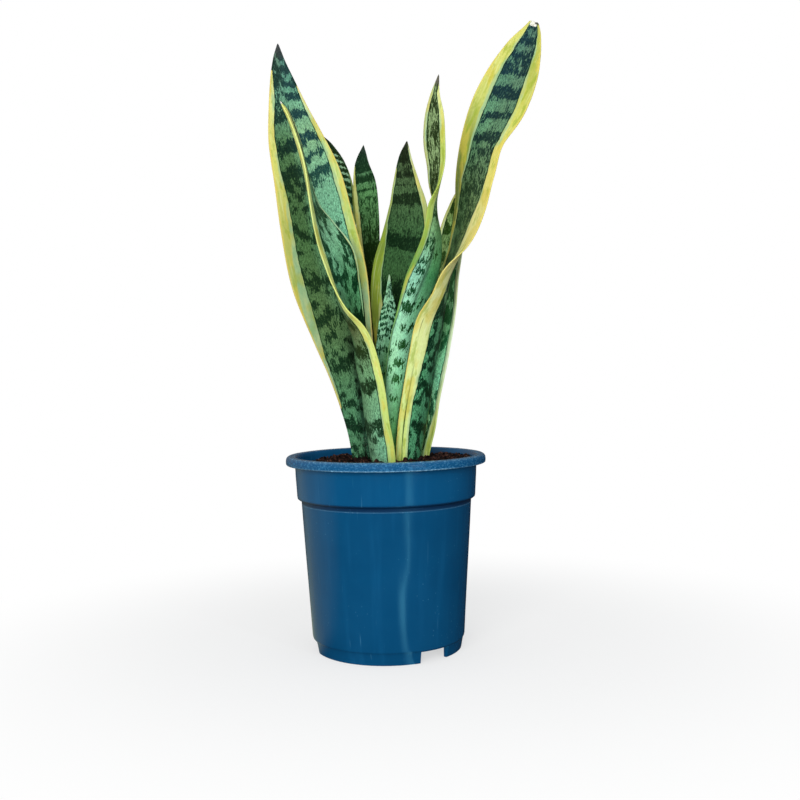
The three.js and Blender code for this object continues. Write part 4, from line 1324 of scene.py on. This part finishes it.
def fibre(rng, vertices, faces):
    """One thin bent strand of coir lying on the surface."""
    x, y = soil_spot(rng, 0.05, 0.9)
    heading = rng.uniform(0, 2 * math.pi)
    step, thin = rng.uniform(4, 9) / FIBRE_STEPS, rng.uniform(0.12, 0.22)
    first = len(vertices)
    for _ in range(FIBRE_STEPS + 1):
        heading += rng.uniform(-0.35, 0.35)
        z = soil_height(x, y) + 0.5 + rng.uniform(0, 0.4)
        for k in range(FIBRE_SIDES):
            side, up = on_circle(thin, 2 * math.pi * k / FIBRE_SIDES)
            vertices.append((x - math.sin(heading) * side, y + math.cos(heading) * side, z + up))
        x += math.cos(heading) * step
        y += math.sin(heading) * step
    faces += ring_faces(FIBRE_STEPS + 1, FIBRE_SIDES, first)
    faces.append(tuple(first + k for k in reversed(range(FIBRE_SIDES))))
    faces.append(tuple(first + FIBRE_STEPS * FIBRE_SIDES + k for k in range(FIBRE_SIDES)))


def make_soil():
    top = [(SOIL_RADIUS * (1 - i / SOIL_RINGS), SOIL_LEVEL) for i in range(SOIL_RINGS + 1)]
    vertices, faces = lathe((*SOIL_SIDE, *top), SOIL_SIDES)
    vertices = [(x, y, soil_height(x, y) if z == SOIL_LEVEL else z) for x, y, z in vertices]
    rng = random.Random(SOIL_SEED)
    for _ in range(CRUMBS):
        crumb(rng, vertices, faces)
    for _ in range(FIBRES):
        fibre(rng, vertices, faces)
    piece = new_object("soil_fine", to_frame(vertices), faces, soil_material())
    piece.data.set_sharp_from_angle(angle=math.radians(SOIL_SHARP))
    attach(piece, "root")
    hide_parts("soil")


# ---------- stage, light and camera ----------

WHITE = (1, 1, 1, 1)
PAPER_DARK, PAPER_LIGHT = rgba(246, 246, 246), rgba(252, 252, 252)
FLOOR_PROFILE = (
    (0, 0), (100, 0), (300, 0), (600, 0), (1500, 0), (4000, 0), (4000, -0.5), (0, -1),
)
FLOOR_SIDES = 64
FLOOR_GAP = 0.02  # mm between the floor and the pot's foot
FLOOR_FADE = (0.14, 0.42)  # metres from the middle over which the floor turns white
FLOOR_GLOW = 0.32  # how bright the floor is for the light that it sends up
# A bright strip of floor glow, seen only in reflections, that lays a highlight streak on the pot:
STREAK_NEAR = 0.31  # radians from the front towards +X, on the floor close to the pot
STREAK_FAR = 0.475
STREAK_TURN = (0.2, 0.29)  # metres from the pot over which the strip goes from near to far
STREAK_SOFT = 0.13  # width of its soft left side
STREAK_SHARP = 0.045  # width of its sharp right side
STREAK = (0.9, 3.5, 4.3, 1)
BROWN_GREY = (0.3, 0.34, 0.24, 1)
DARK_SIDE = (0.015, 0.02, 0.028, 1)

ROOM_LEFT = (0.34, 0.29, 0.22, 1)
ROOM_RIGHT = (0.03, 0.035, 0.045, 1)
ROOM_TURN = (-1.0, 0.6)  # sideways directions between which the room goes from left to right
SKY = (0.97, 0.99, 1.0, 1)
SKY_STRENGTH = 0.58

LIGHT_AIM = 0.22  # metres above the floor
# Lights: name, place in metres, size, power, colour, whether it shows in reflections.
LIGHTS = (
    ("key", (-0.4, -1.47, 0.48), (0.9, 0.9), 20.5, (1, 0.99, 0.97), False),
    ("fill", (0.5, -1.3, 0.5), (0.3, 0.3), 1.4, (0.97, 0.99, 1), False),
    ("strip", (0.66, -1.0, 0.5), (0.06, 0.9), 1.6, (0.85, 0.95, 1), True),
)

PHOTO_SIZE = 800
SENSOR = 36
CAMERA_PLACE = (0, -780, 213)
CAMERA_FOCUS = 1034  # in pixels
CAMERA_AIM_PIXEL = (384.8, 365)  # where the pot's axis at the camera's height lies in the photo
CAMERA_ROLL = 0.95


def floor_in_gloss(s, place):
    """Glow painted into the floor, seen only in reflections: brown grey at the left, dark at the
    right, and one bright strip that makes a highlight streak on the pot.
    """
    axes = s.axes(place)
    x, y = s.math("SUBTRACT", axes[0], AXIS_X), s.math("SUBTRACT", AXIS_Y, axes[1])
    azimuth = s.math("ARCTAN2", x, y)
    away = s.math("POWER", s.add(s.product(x, x), s.product(y, y)), 0.5)
    brown = s.product(s.step(azimuth, -1.0, -1.5), s.step(azimuth, -3.0, -2.2))
    room = s.mix(brown, DARK_SIDE, BROWN_GREY)
    far = s.step(away, *STREAK_TURN)
    side = s.math("SUBTRACT", azimuth, s.remap(far, STREAK_NEAR, STREAK_FAR))
    strip = s.product(s.step(side, -STREAK_SOFT, 0), s.step(side, STREAK_SHARP, 0.02))
    fading = s.product(s.remap(far, 0.9, 0.6), s.remap(s.step(away, 0.07, 0.18), 0.4, 1))
    return s.mix(s.product(strip, fading), room, STREAK)


def make_floor():
    """Pale disc that fades into the white surroundings, and is dim in what it lights."""
    s = Shader(bpy.data.materials.new("floor"))
    place = s.place()
    away = s.node("ShaderNodeVectorMath", {0: place}, operation="LENGTH")["Value"]
    fade = s.remap(s.step(away, *FLOOR_FADE), 0.6, 1)
    paper = s.mix(s.noise(place, 700), PAPER_DARK, PAPER_LIGHT)
    s.finish(Base_Color=paper, Roughness=0.9, Specular_IOR_Level=0.1)
    ray = s.node("ShaderNodeLightPath")
    seen, mirrored = ray["Is Camera Ray"], ray["Is Glossy Ray"]
    glow = s.node("ShaderNodeEmission", {
        "Color": s.mix(mirrored, WHITE, floor_in_gloss(s, place)),
        "Strength": s.math("MAXIMUM", s.remap(seen, FLOOR_GLOW, 1), mirrored),
    })[0]
    share = s.math("MAXIMUM", fade, s.math("SUBTRACT", 1, seen))
    lit = s.tree.nodes["Principled BSDF"].outputs[0]
    surface = s.tree.nodes["Material Output"].inputs["Surface"]
    s.put(surface, s.mix_shader(share, lit, glow))
    vertices, faces = lathe(FLOOR_PROFILE, FLOOR_SIDES)
    vertices = (np.array(vertices) - (0, 0, FLOOR_GAP)) * MM
    floor = new_object("floor", vertices, faces, s.owner, False)
    face_outward(floor.data)


def make_world():
    """White behind the plant, a soft grey room in the reflections."""
    world = bpy.data.worlds.new("studio")
    bpy.context.scene.world = world
    s = Shader(world)
    s.tree.nodes.clear()
    direction = s.axes(s.node("ShaderNodeTexCoord")["Generated"])
    room = s.mix(s.remap(direction[0], 0, 1, *ROOM_TURN), ROOM_LEFT, ROOM_RIGHT)
    glossy, soft, white = (
        s.node("ShaderNodeBackground", {0: colour, 1: strength})[0]
        for colour, strength in ((room, 1), (SKY, SKY_STRENGTH), (WHITE, 1))
    )
    ray = s.node("ShaderNodeLightPath")
    around = s.mix_shader(ray["Is Glossy Ray"], soft, glossy)
    both = s.mix_shader(ray["Is Camera Ray"], around, white)
    s.node("ShaderNodeOutputWorld", {0: both})


def add_light(name, place, size, power, colour, mirrored):
    """Area light that looks at the middle of the plant."""
    data = bpy.data.lights.new(name, "AREA")
    data.shape = "RECTANGLE"
    data.size, data.size_y = size
    data.energy = power
    data.color = colour
    lamp = link_object(name, data)
    lamp.visible_glossy = mirrored
    aim = Vector((AXIS_X, AXIS_Y, LIGHT_AIM)) - Vector(place)
    turn = aim.to_track_quat("-Z", "Y").to_matrix().to_4x4()
    lamp.matrix_world = Matrix.Translation(place) @ turn


def make_camera():
    data = bpy.data.cameras.new("camera")
    data.sensor_width = SENSOR
    data.lens = SENSOR * CAMERA_FOCUS / PHOTO_SIZE
    data.dof.use_dof = False
    camera = link_object("camera", data)
    yaw, drop = (math.atan((PHOTO_SIZE / 2 - pixel) / CAMERA_FOCUS) for pixel in CAMERA_AIM_PIXEL)
    level = math.cos(drop)
    forward = Vector((math.sin(yaw) * level, math.cos(yaw) * level, -math.sin(drop)))
    right = forward.cross(Vector((0, 0, 1))).normalized()
    up = right.cross(forward)
    cosine, sine = on_circle(1, math.radians(CAMERA_ROLL))
    basis = Matrix((right * cosine - up * sine, right * sine + up * cosine, -forward)).transposed()
    camera.matrix_world = Matrix.Translation(to_frame(CAMERA_PLACE)) @ basis.to_4x4()
    bpy.context.scene.camera = camera


make_camera()
make_floor()
make_world()
for light in LIGHTS:
    add_light(*light)
make_pot()
make_soil()
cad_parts["rhizome"].material_slots[0].material = rhizome_material()
for leaf_number, leaf_name in enumerate(LEAF_ROWS):
    make_leaf(leaf_name, leaf_number)
bpy.context.scene.view_settings.view_transform = "Standard"
